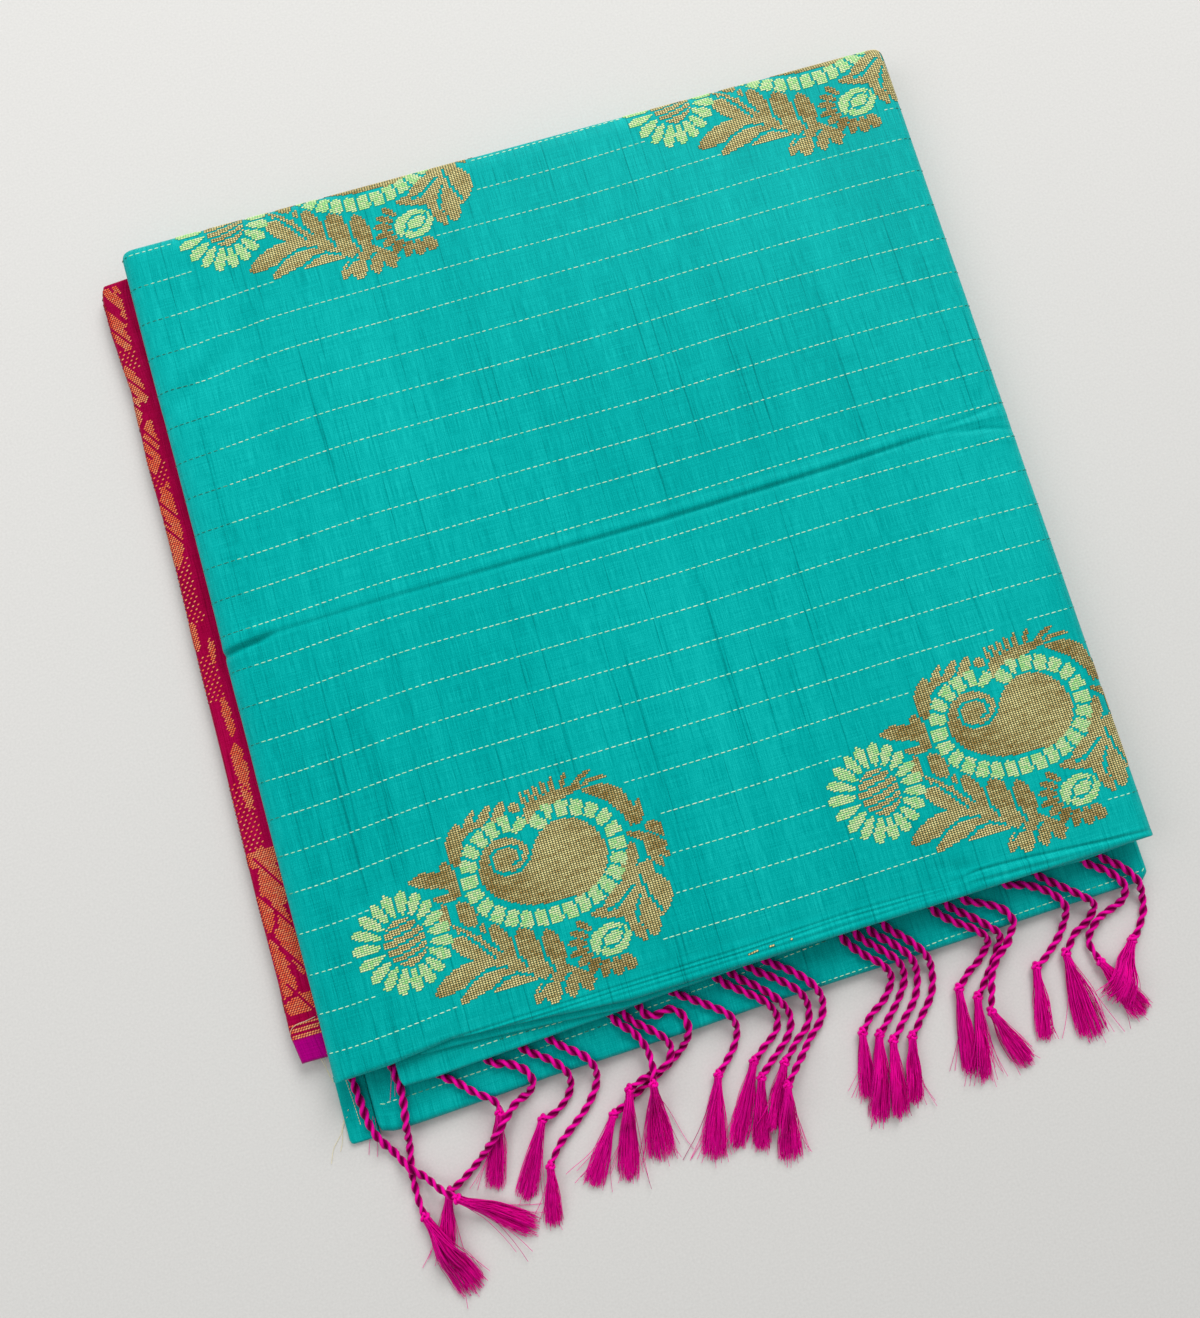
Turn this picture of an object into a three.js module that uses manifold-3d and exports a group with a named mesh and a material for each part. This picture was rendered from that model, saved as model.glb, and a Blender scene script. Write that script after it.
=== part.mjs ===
// Folded art silk saree with a tasselled pallu, lying flat. Millimetres, +Z up.
// The origin is on the floor under the middle of the stack: +X runs along the weft, +Y along the
// length of the cloth, away from the tassels.
import * as THREE from "three";
import { mergeVertices } from "three/addons/utils/BufferGeometryUtils.js";
import Module from "manifold-3d";

// Driving sizes of the folded stack
const foldWidth = 380;
const backEdge = 198.5;
const frontEdge = -198.5;
const topHeight = 22;
const bundleWall = 1.6;
const seamGap = 0.3;
const halfWidth = foldWidth / 2;

// Cloth and thread colours, roughness and metalness
const finishes = {
  tealSilk: { color: 0x00a9a2, roughness: 0.5, metalness: 0 },
  magentaZari: { color: 0xa8105a, roughness: 0.45, metalness: 0.1 },
  magentaThread: { color: 0xc4007c, roughness: 0.4, metalness: 0 },
};

// Rounding of the top fold where it turns over the edges of the stack
const sideRoll = 9;
const sideDrop = 4.5;
const frontRoll = 3;
const frontDrop = 2;
const skirtFoot = 12.6;
const frontSkirt = 1.9;
const skirtBlend = 12;
const cornerRadius = 6;
const domeRise = 0.5;

// Front edge of the top fold, which wanders a little from left to right
const topFrontLine = [
  { x: -190, y: -198.2 },
  { x: -165, y: -197.6 },
  { x: -136, y: -194.6 },
  { x: -97, y: -197.3 },
  { x: -56, y: -200.8 },
  { x: -5, y: -200.6 },
  { x: 90, y: -200 },
  { x: 190, y: -198.5 },
];

// Long soft crease that crosses the top fold from the left edge to the right one
const creaseLine = [
  { x: -190, y: -2.6 },
  { x: -165, y: 0.4 },
  { x: -110, y: 1.2 },
  { x: 20, y: 1 },
  { x: 100, y: 2.8 },
  { x: 145, y: 4.6 },
  { x: 190, y: 4 },
];
const creaseDepth = 0.9;
const creaseReach = 4;
const rowFollow = 60;
const frontFade = 100;

// Columns and rows of the top fold's grid, as distances in from each edge and places between them
const edgeInsets = [0, 1.1, 4, 9];
const frontInsets = [0, 0.7, 3, 9];
const middleColumns = [-136, -97, -40, 20, 75, 130];
const middleRows = [-130, -65, -12, -4, 0, 4, 12, 65, 130];

// Flaps of folded cloth whose front edges show under the top fold, each a U of two plies
const underFold = { bottom: 0, thick: 6.3, wall: 1.8, back: -192.5 };
const secondFold = { bottom: 11.2, thick: 3.4, wall: 1.1, back: -192.5 };
const middleFold = { bottom: 14.9, thick: 2.3, wall: 1, back: -192.5 };
const underLine = [
  { x: -180, y: -221.5 },
  { x: -178.6, y: -226 },
  { x: -173, y: -227.8 },
  { x: -158, y: -227.6 },
  { x: -127, y: -226.4 },
  { x: -101, y: -225.1 },
  { x: -70, y: -224.7 },
  { x: -29, y: -223.9 },
  { x: 1, y: -222.6 },
  { x: 53, y: -221.8 },
  { x: 82, y: -221.3 },
  { x: 135, y: -220 },
  { x: 184, y: -219 },
  { x: 188, y: -215.5 },
];
const secondLine = [
  { x: -163.5, y: -205.5 },
  { x: -162, y: -208.9 },
  { x: -149, y: -209.1 },
  { x: -127, y: -208.1 },
  { x: -91, y: -206.5 },
  { x: -69, y: -205.5 },
  { x: -40, y: -203.8 },
  { x: 0, y: -202 },
  { x: 50, y: -200.9 },
  { x: 88, y: -200.8 },
  { x: 119, y: -199.6 },
  { x: 157, y: -201.2 },
  { x: 183, y: -199.6 },
  { x: 187.6, y: -198.4 },
];
const middleLine = [
  { x: -151, y: -197.6 },
  { x: -128, y: -198.6 },
  { x: -97, y: -200.8 },
  { x: -60, y: -203.9 },
  { x: -40, y: -202.9 },
  { x: -5, y: -201.7 },
  { x: 60, y: -200.6 },
  { x: 120, y: -199.2 },
  { x: 187, y: -197.8 },
];

// Corner of the lowest fold that shows to the left of the under fold
const cornerFold = { left: -194, right: -180.3, front: -228.5, thick: 2.7, round: 1.3 };

// Pallu's left fold, which stands out from under the teal along the whole left side
const palluFold = { wall: 1.3, thick: 3.2, inner: -189, innerRise: 6.6, outerRise: 4.6 };
const palluLine = [
  { x: -204.6, y: 190.4 },
  { x: -206.8, y: 183 },
  { x: -206.6, y: 165 },
  { x: -204.3, y: 135 },
  { x: -205.2, y: 100 },
  { x: -204.4, y: 60 },
  { x: -205.2, y: 0 },
  { x: -205.4, y: -50 },
  { x: -206.2, y: -110 },
  { x: -206, y: -150 },
  { x: -206.6, y: -175 },
  { x: -204.6, y: -187.8 },
];

// Hidden layers: heights of the folded edges and how far each ring lies in from the outline
const hidden = { half: 189.3, front: -192.2, back: 198 };
const frontBlend = 9;
const hiddenRings = [
  { z: 12.3, inset: 1.9 },
  { z: 11.2, inset: 0.5 },
  { z: 9.9, inset: 0.6 },
  { z: 9, inset: 2.1 },
  { z: 7.9, inset: 0.7 },
  { z: 6.9, inset: 0.8 },
  { z: 6, inset: 2 },
  { z: 4.4, inset: 0.1 },
  { z: 3, inset: 1.7 },
  { z: 1.6, inset: 0.3 },
  { z: 0, inset: 1.6 },
];
const edgeWander = 0.4;
const underLift = 0.5;
const underScale = 0.9945;

// Tassels: twisted cord, knot, head and a brush of locks
const cordRadius = 2.1;
const cordEndRadius = 1.7;
const cordSides = 5;
const cordSteps = 10;
const cordShare = 0.93;
const knotShare = 0.9;
const knotRadius = 3;
const headRadius = 2;
const headRings = [
  { reach: 0, radius: knotRadius },
  { reach: 2.4, radius: 2.7 },
  { reach: 4.2, radius: headRadius },
];
const lockCount = 6;
const lockRadius = 1.3;
const lockLift = 2.7;
const lockRings = [
  { along: 0, girth: 0.4 },
  { along: 0.45, girth: 1 },
  { along: 1, girth: 0.6 },
];
const lockRoot = 0.06;
const lockBow = 1.35;
const lockShort = 0.09;
const lockRagged = 0.05;
const raggedTurns = 9;
const headFade = 0.4;
const restGap = 0.32;
const rampSlope = 0.7;
const sampleStep = 1;
const cordReach = 3;
const lockReach = 4;
const knotReach = 5;

// Tassels in the order in which they lie on each other: the cord's points from root to knot, the
// tip of its brush, and the half angle over which the brush spreads
const tassels = [
  {
    name: "tassel_03",
    cord: [[-156, -194], [-147, -209], [-141, -214], [-134, -221], [-127, -227], [-126, -233]],
    tip: [-138, -266],
    spread: 0.13,
  },
  {
    name: "tassel_04",
    cord: [
      [-132, -194], [-124, -210], [-117, -213], [-110, -218], [-108, -224], [-112, -229], [-119, -232],
      [-126, -238], [-133, -244], [-141, -251], [-149, -256], [-157, -260],
    ],
    tip: [-167, -290],
    spread: 0.14,
  },
  {
    name: "tassel_02",
    cord: [
      [-167, -194], [-165, -209], [-166, -221], [-169, -237], [-171, -249], [-171, -259], [-170, -267],
    ],
    tip: [-156, -305],
    spread: 0.2,
  },
  {
    name: "tassel_01",
    cord: [
      [-186, -194], [-184.5, -209], [-183, -222], [-179, -232], [-173, -241], [-167, -249], [-160, -256],
      [-153, -262],
    ],
    tip: [-123, -287],
    spread: 0.15,
  },
  {
    name: "tassel_05",
    cord: [
      [-116, -194], [-108, -209], [-102, -214], [-96, -219], [-92, -226], [-94, -234], [-101, -240],
      [-109, -242],
    ],
    tip: [-127, -274],
    spread: 0.14,
  },
  {
    name: "tassel_06",
    cord: [
      [-104, -194], [-96, -208], [-90, -214], [-83, -220], [-80, -227], [-82, -235], [-89, -243], [-97, -249],
      [-105, -255], [-111, -262],
    ],
    tip: [-117, -288],
    spread: 0.16,
  },
  {
    name: "tassel_09",
    cord: [
      [-54, -194], [-53, -208], [-48, -212], [-41, -211], [-36, -215], [-35, -222], [-39, -229], [-46, -234],
      [-56, -239], [-67, -244], [-78, -249],
    ],
    tip: [-96, -277],
    spread: 0.16,
  },
  {
    name: "tassel_08",
    cord: [
      [-66, -194], [-60, -209], [-53, -216], [-47, -222], [-45, -229], [-50, -235], [-59, -237],
      [-68, -240],
    ],
    tip: [-80, -280],
    spread: 0.12,
  },
  {
    name: "tassel_07",
    cord: [[-72, -194], [-66, -208], [-60, -215], [-56, -223], [-55, -232], [-57, -240]],
    tip: [-63, -276],
    spread: 0.2,
  },
  {
    name: "tassel_10",
    cord: [
      [-43, -194], [-37.5, -204], [-31, -209], [-23, -215], [-16, -221], [-14, -229], [-18, -237],
      [-28, -246],
    ],
    tip: [-41, -282],
    spread: 0.16,
  },
  {
    name: "tassel_11",
    cord: [[-22, -194], [-15, -206], [-7, -213], [1, -220], [5, -228], [3, -235], [-4, -240], [-11, -245]],
    tip: [-30, -280],
    spread: 0.12,
  },
  {
    name: "tassel_12",
    cord: [[-15, -194], [-8, -206], [0, -213], [7, -221], [11, -230], [8, -238], [0, -245], [-10, -252]],
    tip: [-19, -284],
    spread: 0.12,
  },
  {
    name: "tassel_13",
    cord: [[-8, -194], [0, -205], [9, -212], [17, -220], [20, -229], [17, -237], [9, -243], [2, -249]],
    tip: [-12, -276],
    spread: 0.13,
  },
  {
    name: "tassel_14",
    cord: [
      [0, -194], [8, -204], [17, -211], [24, -219], [27, -228], [24, -236], [16, -243], [8, -250],
      [0, -258],
    ],
    tip: [-8, -292],
    spread: 0.17,
  },
  {
    name: "tassel_15",
    cord: [[40, -194], [44, -205], [50, -213], [57, -220], [60, -228], [54, -236], [46, -241], [40, -247]],
    tip: [34, -276],
    spread: 0.12,
  },
  {
    name: "tassel_16",
    cord: [
      [46.5, -194], [50.5, -205], [57, -212], [64, -220], [66, -229], [61, -237], [54, -244], [47, -250],
    ],
    tip: [36, -288],
    spread: 0.14,
  },
  {
    name: "tassel_17",
    cord: [[53, -194], [57, -205], [64, -212], [70, -220], [72, -229], [68, -239], [60, -247], [52, -254]],
    tip: [45, -288],
    spread: 0.13,
  },
  {
    name: "tassel_18",
    cord: [[60, -194], [64, -205], [70, -211], [76, -219], [79, -228], [76, -239], [68, -248], [61, -255]],
    tip: [53, -284],
    spread: 0.14,
  },
  {
    name: "tassel_19",
    cord: [
      [83, -194], [87, -204], [94, -211], [102, -217], [107, -224], [102, -231], [94, -236], [88, -241],
    ],
    tip: [82, -280],
    spread: 0.1,
  },
  {
    name: "tassel_20",
    cord: [
      [89.5, -194], [94, -204], [102, -211], [108, -217], [113, -224], [108, -233], [101, -241], [95, -247],
    ],
    tip: [87, -284],
    spread: 0.1,
  },
  {
    name: "tassel_21",
    cord: [
      [96.5, -194], [101.5, -203], [109, -207], [117, -212], [120, -219], [116, -226], [108, -233], [102, -242],
      [98, -254],
    ],
    tip: [109, -283],
    spread: 0.18,
  },
  {
    name: "tassel_22",
    cord: [
      [115, -194], [122, -202], [131, -205], [140, -211], [145, -219], [143, -228], [135, -236],
      [125, -242],
    ],
    tip: [119, -275],
    spread: 0.12,
  },
  {
    name: "tassel_23",
    cord: [
      [131, -194], [138, -203], [146, -210], [154, -217], [159, -223], [155, -229], [147, -233],
      [140, -240],
    ],
    tip: [141, -281],
    spread: 0.2,
  },
  {
    name: "tassel_24",
    cord: [
      [155.5, -194], [160, -203], [169, -210], [174, -218], [172, -225], [164, -228], [156, -231], [152, -239],
      [154, -248],
    ],
    tip: [167, -277],
    spread: 0.18,
  },
  {
    name: "tassel_25",
    cord: [[163, -194], [168, -203], [176, -210], [181, -219], [182, -229], [177, -238], [171, -243]],
    tip: [154, -268],
    spread: 0.24,
  },
];

const wasm = await Module();
wasm.setup();

// Value of a line of points at x, along straight stretches
function lineAt(line, x) {
  if (x <= line[0].x) return line[0].y;
  for (let i = 1; i < line.length; i++) {
    if (x > line[i].x) continue;
    const share = (x - line[i - 1].x) / (line[i].x - line[i - 1].x);
    return THREE.MathUtils.lerp(line[i - 1].y, line[i].y, share);
  }
  return line[line.length - 1].y;
}

// Depth of a rounded edge at a distance in from it
function rollDrop(distance, roll, drop) {
  const share = THREE.MathUtils.clamp(1 - distance / roll, 0, 1);
  return drop * (1 - Math.sqrt(1 - share * share));
}

// Moves a point of a sharp rectangle's corner onto a rounded one
function roundedCorner(x, y, half, back, radius) {
  const side = Math.abs(x) - (half - radius);
  const end = y - (back - radius);
  if (side <= 0 || end <= 0) return { x, y };
  const shrink = Math.max(side, end) / Math.hypot(side, end);
  return { x: Math.sign(x) * (half - radius + side * shrink), y: back - radius + end * shrink };
}

// Height of the top fold's outside over a place on it
function topSurface(x, y, front) {
  const sides = Math.min(halfWidth - Math.abs(x), backEdge - y);
  const dome = domeRise * (1 - (x / halfWidth) ** 2) * (1 - (y / backEdge) ** 2);
  const fromCrease = (y - lineAt(creaseLine, x)) / creaseReach;
  const crease = creaseDepth * Math.exp(-fromCrease * fromCrease);
  const roll = Math.max(rollDrop(sides, sideRoll, sideDrop), rollDrop(y - front, frontRoll, frontDrop));
  return topHeight - domeRise + dome - crease - roll;
}

// Outside of the top fold as a grid of rows from front to back
function topGrid() {
  const left = edgeInsets.map((inset) => -halfWidth + inset);
  const columns = [...left, ...middleColumns, ...left.map((x) => -x).reverse()];
  const frontRows = frontInsets.map((inset) => frontEdge + inset);
  const backRows = edgeInsets.map((inset) => backEdge - inset).reverse();
  const rows = [...frontRows, ...middleRows, ...backRows];
  return rows.map((row) =>
    columns.map((x) => {
      const front = lineAt(topFrontLine, x);
      const nearFront = THREE.MathUtils.clamp((frontFade - row) / (frontFade - frontEdge), 0, 1);
      const toFront = (front - frontEdge) * nearFront ** 3;
      const toCrease = lineAt(creaseLine, x) * Math.exp(-((row / rowFollow) ** 2));
      const y = row + toFront + toCrease;
      const flat = roundedCorner(x, y, halfWidth, backEdge, cornerRadius);
      return new THREE.Vector3(flat.x, flat.y, topSurface(x, y, front));
    }),
  );
}

// Flat list of a grid's points, its faces looking up, and its edge in turn from the front left
function gridSheet(grid) {
  const across = grid[0].length;
  const faces = [];
  for (let j = 1; j < grid.length; j++)
    for (let i = 1; i < across; i++) {
      const corner = (j - 1) * across + i - 1;
      faces.push([corner, corner + 1, corner + across + 1], [corner, corner + across + 1, corner + across]);
    }
  const at = (j, i) => j * across + i;
  const last = grid.length - 1;
  const edge = [];
  for (let i = 0; i < across - 1; i++) edge.push(at(0, i));
  for (let j = 0; j < last; j++) edge.push(at(j, across - 1));
  for (let i = across - 1; i > 0; i--) edge.push(at(last, i));
  for (let j = last; j > 0; j--) edge.push(at(j, 0));
  return { points: grid.flat().map((p) => p.clone()), faces, edge };
}

// Adds one ring of points below the sheet's edge, and the band of faces between them
function addRing(sheet, ring) {
  const first = sheet.points.length;
  sheet.points.push(...ring);
  const count = sheet.edge.length;
  for (let i = 0; i < count; i++) {
    const next = (i + 1) % count;
    sheet.faces.push(
      [sheet.edge[i], first + i, first + next],
      [sheet.edge[i], first + next, sheet.edge[next]],
    );
  }
  sheet.edge = ring.map((point, i) => first + i);
}

// Average normal of the sheet at each of its points
function sheetNormals({ points, faces }) {
  const normals = points.map(() => new THREE.Vector3());
  for (const [a, b, c] of faces) {
    const ab = points[b].clone().sub(points[a]);
    const ac = points[c].clone().sub(points[a]);
    const normal = ab.cross(ac);
    for (const index of [a, b, c]) normals[index].add(normal);
  }
  return normals.map((normal) => normal.normalize());
}

// Closed wall of cloth: the sheet, a copy moved in along its normals, and a rim round its edge
function clothWall(sheet, wall) {
  const count = sheet.points.length;
  const normals = sheetNormals(sheet);
  const inner = sheet.points.map((point, i) => point.clone().addScaledVector(normals[i], -wall));
  const faces = [...sheet.faces, ...sheet.faces.map(([a, b, c]) => [a + count, c + count, b + count])];
  sheet.edge.forEach((start, i) => {
    const end = sheet.edge[(i + 1) % sheet.edge.length];
    faces.push([start, start + count, end + count], [start, end + count, end]);
  });
  return closedBody([...sheet.points, ...inner], faces);
}

// Solid from points and faces, turned to face out
function closedBody(points, faces) {
  let volume = 0;
  for (const [a, b, c] of faces) volume += points[a].dot(points[b].clone().cross(points[c]));
  const turned = volume < 0 ? faces.map(([a, b, c]) => [a, c, b]) : faces;
  const geometry = new THREE.BufferGeometry();
  const places = points.flatMap((p) => p.toArray());
  geometry.setAttribute("position", new THREE.Float32BufferAttribute(places, 3));
  geometry.setIndex(turned.flat());
  return geometry;
}

// Closed body through rings of the same number of points, capped at both ends
function ringLoft(rings, capFaces) {
  const count = rings[0].length;
  const faces = [];
  for (let j = 1; j < rings.length; j++)
    for (let i = 0; i < count; i++) {
      const next = (i + 1) % count;
      const low = (j - 1) * count;
      const high = j * count;
      faces.push([low + i, low + next, high + next], [low + i, high + next, high + i]);
    }
  const end = (rings.length - 1) * count;
  for (const [a, b, c] of capFaces) faces.push([c, b, a], [a + end, b + end, c + end]);
  return closedBody(rings.flat(), faces);
}

// Fan of faces over a convex ring
function fanCap(count) {
  return Array.from({ length: count - 2 }, (unused, i) => [0, i + 1, i + 2]);
}

// Points of a folded flap's section: out from the seam, round the fold and back, with its inside
function foldSection(depth, thick, wall) {
  const arcSteps = 4;
  const turn = (radius) =>
    Array.from({ length: arcSteps + 1 }, (unused, i) => {
      const angle = Math.PI / 2 - (Math.PI * i) / arcSteps;
      const out = depth - thick / 2 + radius * Math.cos(angle);
      return new THREE.Vector2(out, thick / 2 + radius * Math.sin(angle));
    });
  const outer = [new THREE.Vector2(0, thick), ...turn(thick / 2), new THREE.Vector2(0, 0)];
  const inner = [
    new THREE.Vector2(0, thick - wall),
    ...turn(thick / 2 - wall),
    new THREE.Vector2(0, wall),
  ];
  return [...outer, ...inner.reverse()];
}

// Faces that close a flat outline, in the same turning sense as its points
function outlineFaces(outline) {
  const faces = THREE.ShapeUtils.triangulateShape(outline, []);
  const turn = faces.reduce((sum, face) => sum + THREE.ShapeUtils.area(face.map((i) => outline[i])), 0);
  const same = Math.sign(turn) === Math.sign(THREE.ShapeUtils.area(outline));
  return same ? faces : faces.map(([a, b, c]) => [a, c, b]);
}

// Flap with its fold along a line at the front of the stack
function frontFlap(line, fold) {
  const sections = line.map(({ x, y }) => ({ x, section: foldSection(fold.back - y, fold.thick, fold.wall) }));
  const rings = sections.map(({ x, section }) =>
    section.map((p) => new THREE.Vector3(x, fold.back - p.x, fold.bottom + p.y)),
  );
  return ringLoft(rings, outlineFaces(sections[1].section));
}

// Pallu's fold along the left side, which sinks a little towards its outer edge
function sideFlap(line, fold) {
  const sections = line.map(({ x, y }) => ({ y, section: foldSection(fold.inner - x, fold.thick, fold.wall) }));
  const rings = sections.map(({ y, section }) => {
    const depth = Math.max(...section.map((p) => p.x));
    return section.map((p) => {
      const rise = THREE.MathUtils.lerp(fold.innerRise, fold.outerRise, p.x / depth);
      return new THREE.Vector3(fold.inner - p.x, y, rise + p.y);
    });
  });
  return ringLoft(rings, outlineFaces(sections[1].section));
}

// Top fold: its panel and the skirt that turns down over the edges of the stack
function topFold() {
  const sheet = gridSheet(topGrid());
  const start = sheet.edge.map((index) => sheet.points[index].clone());
  for (const share of [0.5, 1]) {
    addRing(
      sheet,
      start.map((point) => {
        const fromFront = point.y - lineAt(topFrontLine, point.x);
        const deep = THREE.MathUtils.smoothstep(fromFront, 0, skirtBlend);
        const depth = THREE.MathUtils.lerp(frontSkirt, point.z - skirtFoot, deep);
        return new THREE.Vector3(point.x, point.y, point.z - depth * share);
      }),
    );
  }
  return clothWall(sheet, bundleWall);
}

// Depth of a point behind the top fold's front line, moved back to start at the hidden solid's front
function behindFront(x, y) {
  const front = lineAt(topFrontLine, x);
  const share = (y - front) / frontBlend;
  return share < 1 ? THREE.MathUtils.lerp(hidden.front, front + frontBlend, Math.max(0, share)) : y;
}

// Point of the stack's outline, moved in by an inset on the sides and the back
function insetPoint(point, inset, z) {
  const x = (point.x * (hidden.half - inset)) / halfWidth;
  const y = point.y > 0 ? (point.y * (hidden.back - inset)) / backEdge : behindFront(point.x, point.y);
  return new THREE.Vector3(x, y, z);
}

// Hidden layers as one rounded solid: the top fold's form moved in, over rings of folded edges
function hiddenFolds() {
  const sheet = gridSheet(topGrid());
  const outline = sheet.edge.map((index) => sheet.points[index].clone());
  const normals = sheetNormals(sheet);
  sheet.points = sheet.points.map((point, i) => {
    const moved = point.clone().addScaledVector(normals[i], -bundleWall - underLift);
    const y = point.y > 0 ? moved.y * underScale : behindFront(point.x, point.y);
    return new THREE.Vector3(moved.x * underScale, y, moved.z);
  });
  hiddenRings.forEach(({ z, inset }, level) => {
    const ring = outline.map((point, i) => {
      const wander = z > 0 ? edgeWander * Math.abs(Math.sin(i * 0.9 + level * 1.7)) : 0;
      return insetPoint(point, inset + wander, z);
    });
    addRing(sheet, ring);
  });
  const middle = sheet.points.length;
  sheet.points.push(new THREE.Vector3());
  sheet.edge.forEach((index, i) => {
    sheet.faces.push([middle, sheet.edge[(i + 1) % sheet.edge.length], index]);
  });
  return closedBody(sheet.points, sheet.faces);
}

// Corner of the lowest fold: a low pad with a rounded rim
function cornerPad({ left, right, front, thick, round }) {
  const back = underFold.back;
  const levels = [
    { z: 0, inset: 0.5 },
    { z: round, inset: 0 },
    { z: thick - 0.4, inset: 0.3 },
    { z: thick, inset: round },
  ];
  const rings = levels.map(({ z, inset }) => {
    const west = left + inset;
    const south = front + inset;
    return [
      new THREE.Vector3(west + round, south, z),
      new THREE.Vector3(right, south, z),
      new THREE.Vector3(right, back, z),
      new THREE.Vector3(west, back, z),
      new THREE.Vector3(west, south + round, z),
    ];
  });
  return ringLoft(rings, fanCap(rings[0].length));
}

// Lowest height of the middle of a round strand that lies on the floor or the flaps at a place
function groundRest(x, y, radius) {
  const clear = radius + restGap;
  const round = underFold.thick / 2;
  const beyond = Math.max(lineAt(underLine, x) - y, underLine[0].x - x);
  let rest = clear;
  if (beyond < clear) {
    const across = Math.max(0, beyond + round);
    rest = Math.max(rest, round + Math.sqrt((round + clear) ** 2 - across ** 2));
  }
  const overPad = x < cornerFold.right + clear && y > cornerFold.front - clear;
  if (overPad) rest = Math.max(rest, cornerFold.thick + clear);
  return rest;
}

// Height at which a strand also clears what was laid before it
function layHeight(x, y, radius, laid) {
  let height = groundRest(x, y, radius);
  for (const other of laid) {
    const reach = radius + other.radius + seamGap;
    const apart = Math.hypot(x - other.x, y - other.y);
    if (apart < reach) height = Math.max(height, other.z + Math.sqrt(reach * reach - apart * apart));
  }
  return height;
}

// Even samples of a path that lies down on what is below, with slopes no steeper than a soft ramp
function layPath(flatPath, radiusAt, laid) {
  const count = Math.max(4, Math.round(flatPath.getLength() / sampleStep));
  const flat = flatPath.getSpacedPoints(count);
  const heights = flat.map((p, i) => layHeight(p.x, p.y, radiusAt(i / count), laid));
  const fall = (rampSlope * flatPath.getLength()) / count;
  for (let i = 1; i <= count; i++) heights[i] = Math.max(heights[i], heights[i - 1] - fall);
  for (let i = count - 1; i >= 0; i--) heights[i] = Math.max(heights[i], heights[i + 1] - fall);
  return flat.map((p, i) => ({ x: p.x, y: p.y, z: heights[i], radius: radiusAt(i / count) }));
}

// Highest sample near a share of a laid path, so that straight steps between rings stay clear
function pickSample(samples, share, reach) {
  const middle = Math.round(share * (samples.length - 1));
  let z = samples[middle].z;
  for (let i = Math.max(0, middle - reach); i <= Math.min(samples.length - 1, middle + reach); i++)
    z = Math.max(z, samples[i].z);
  return new THREE.Vector3(samples[middle].x, samples[middle].y, z);
}

// Rings of points square to a path, with a radius at each
function tubeRings(path, radii, sides) {
  return path.map((point, i) => {
    const before = path[Math.max(0, i - 1)];
    const after = path[Math.min(path.length - 1, i + 1)];
    const along = after.clone().sub(before).normalize();
    const across = new THREE.Vector3(0, 0, 1).cross(along).normalize();
    const rise = along.clone().cross(across);
    return Array.from({ length: sides }, (unused, k) => {
      const angle = (2 * Math.PI * k) / sides;
      return point
        .clone()
        .addScaledVector(across, radii[i] * Math.cos(angle))
        .addScaledVector(rise, radii[i] * Math.sin(angle));
    });
  });
}

// Geometry as a solid that can be joined to another
function solidOf(geometry) {
  const bare = new THREE.BufferGeometry();
  bare.setAttribute("position", geometry.getAttribute("position"));
  bare.setIndex(geometry.index);
  const merged = mergeVertices(bare, 1e-4);
  return new wasm.Manifold(
    new wasm.Mesh({
      numProp: 3,
      vertProperties: merged.attributes.position.array,
      triVerts: new Uint32Array(merged.index.array),
    }),
  );
}

// Geometry of a joined solid's outer body, without any pocket closed in between its locks
function geometryOf(solid) {
  const bodies = solid.decompose();
  const outer = bodies.reduce((largest, body) => (body.volume() > largest.volume() ? body : largest));
  const mesh = outer.getMesh();
  const geometry = new THREE.BufferGeometry();
  geometry.setAttribute("position", new THREE.BufferAttribute(new Float32Array(mesh.vertProperties), 3));
  geometry.setIndex(new THREE.BufferAttribute(new Uint32Array(mesh.triVerts), 1));
  return geometry;
}

// Path of one lock of a brush, which bows a little as it leaves the head
function lockPath(knot, tip, share, spread) {
  const reach = tip.clone().sub(knot);
  const angle = share * spread;
  const length = 1 - lockShort * Math.abs(share) - lockRagged * Math.abs(Math.sin(share * raggedTurns));
  const end = knot.clone().addScaledVector(reach.clone().rotateAround(new THREE.Vector2(), angle), length);
  const root = knot.clone().addScaledVector(reach, lockRoot);
  const bow = reach.clone().rotateAround(new THREE.Vector2(), angle * lockBow);
  const middle = knot.clone().addScaledVector(bow, 0.5);
  return new THREE.SplineCurve([root, middle, end]);
}

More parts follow.
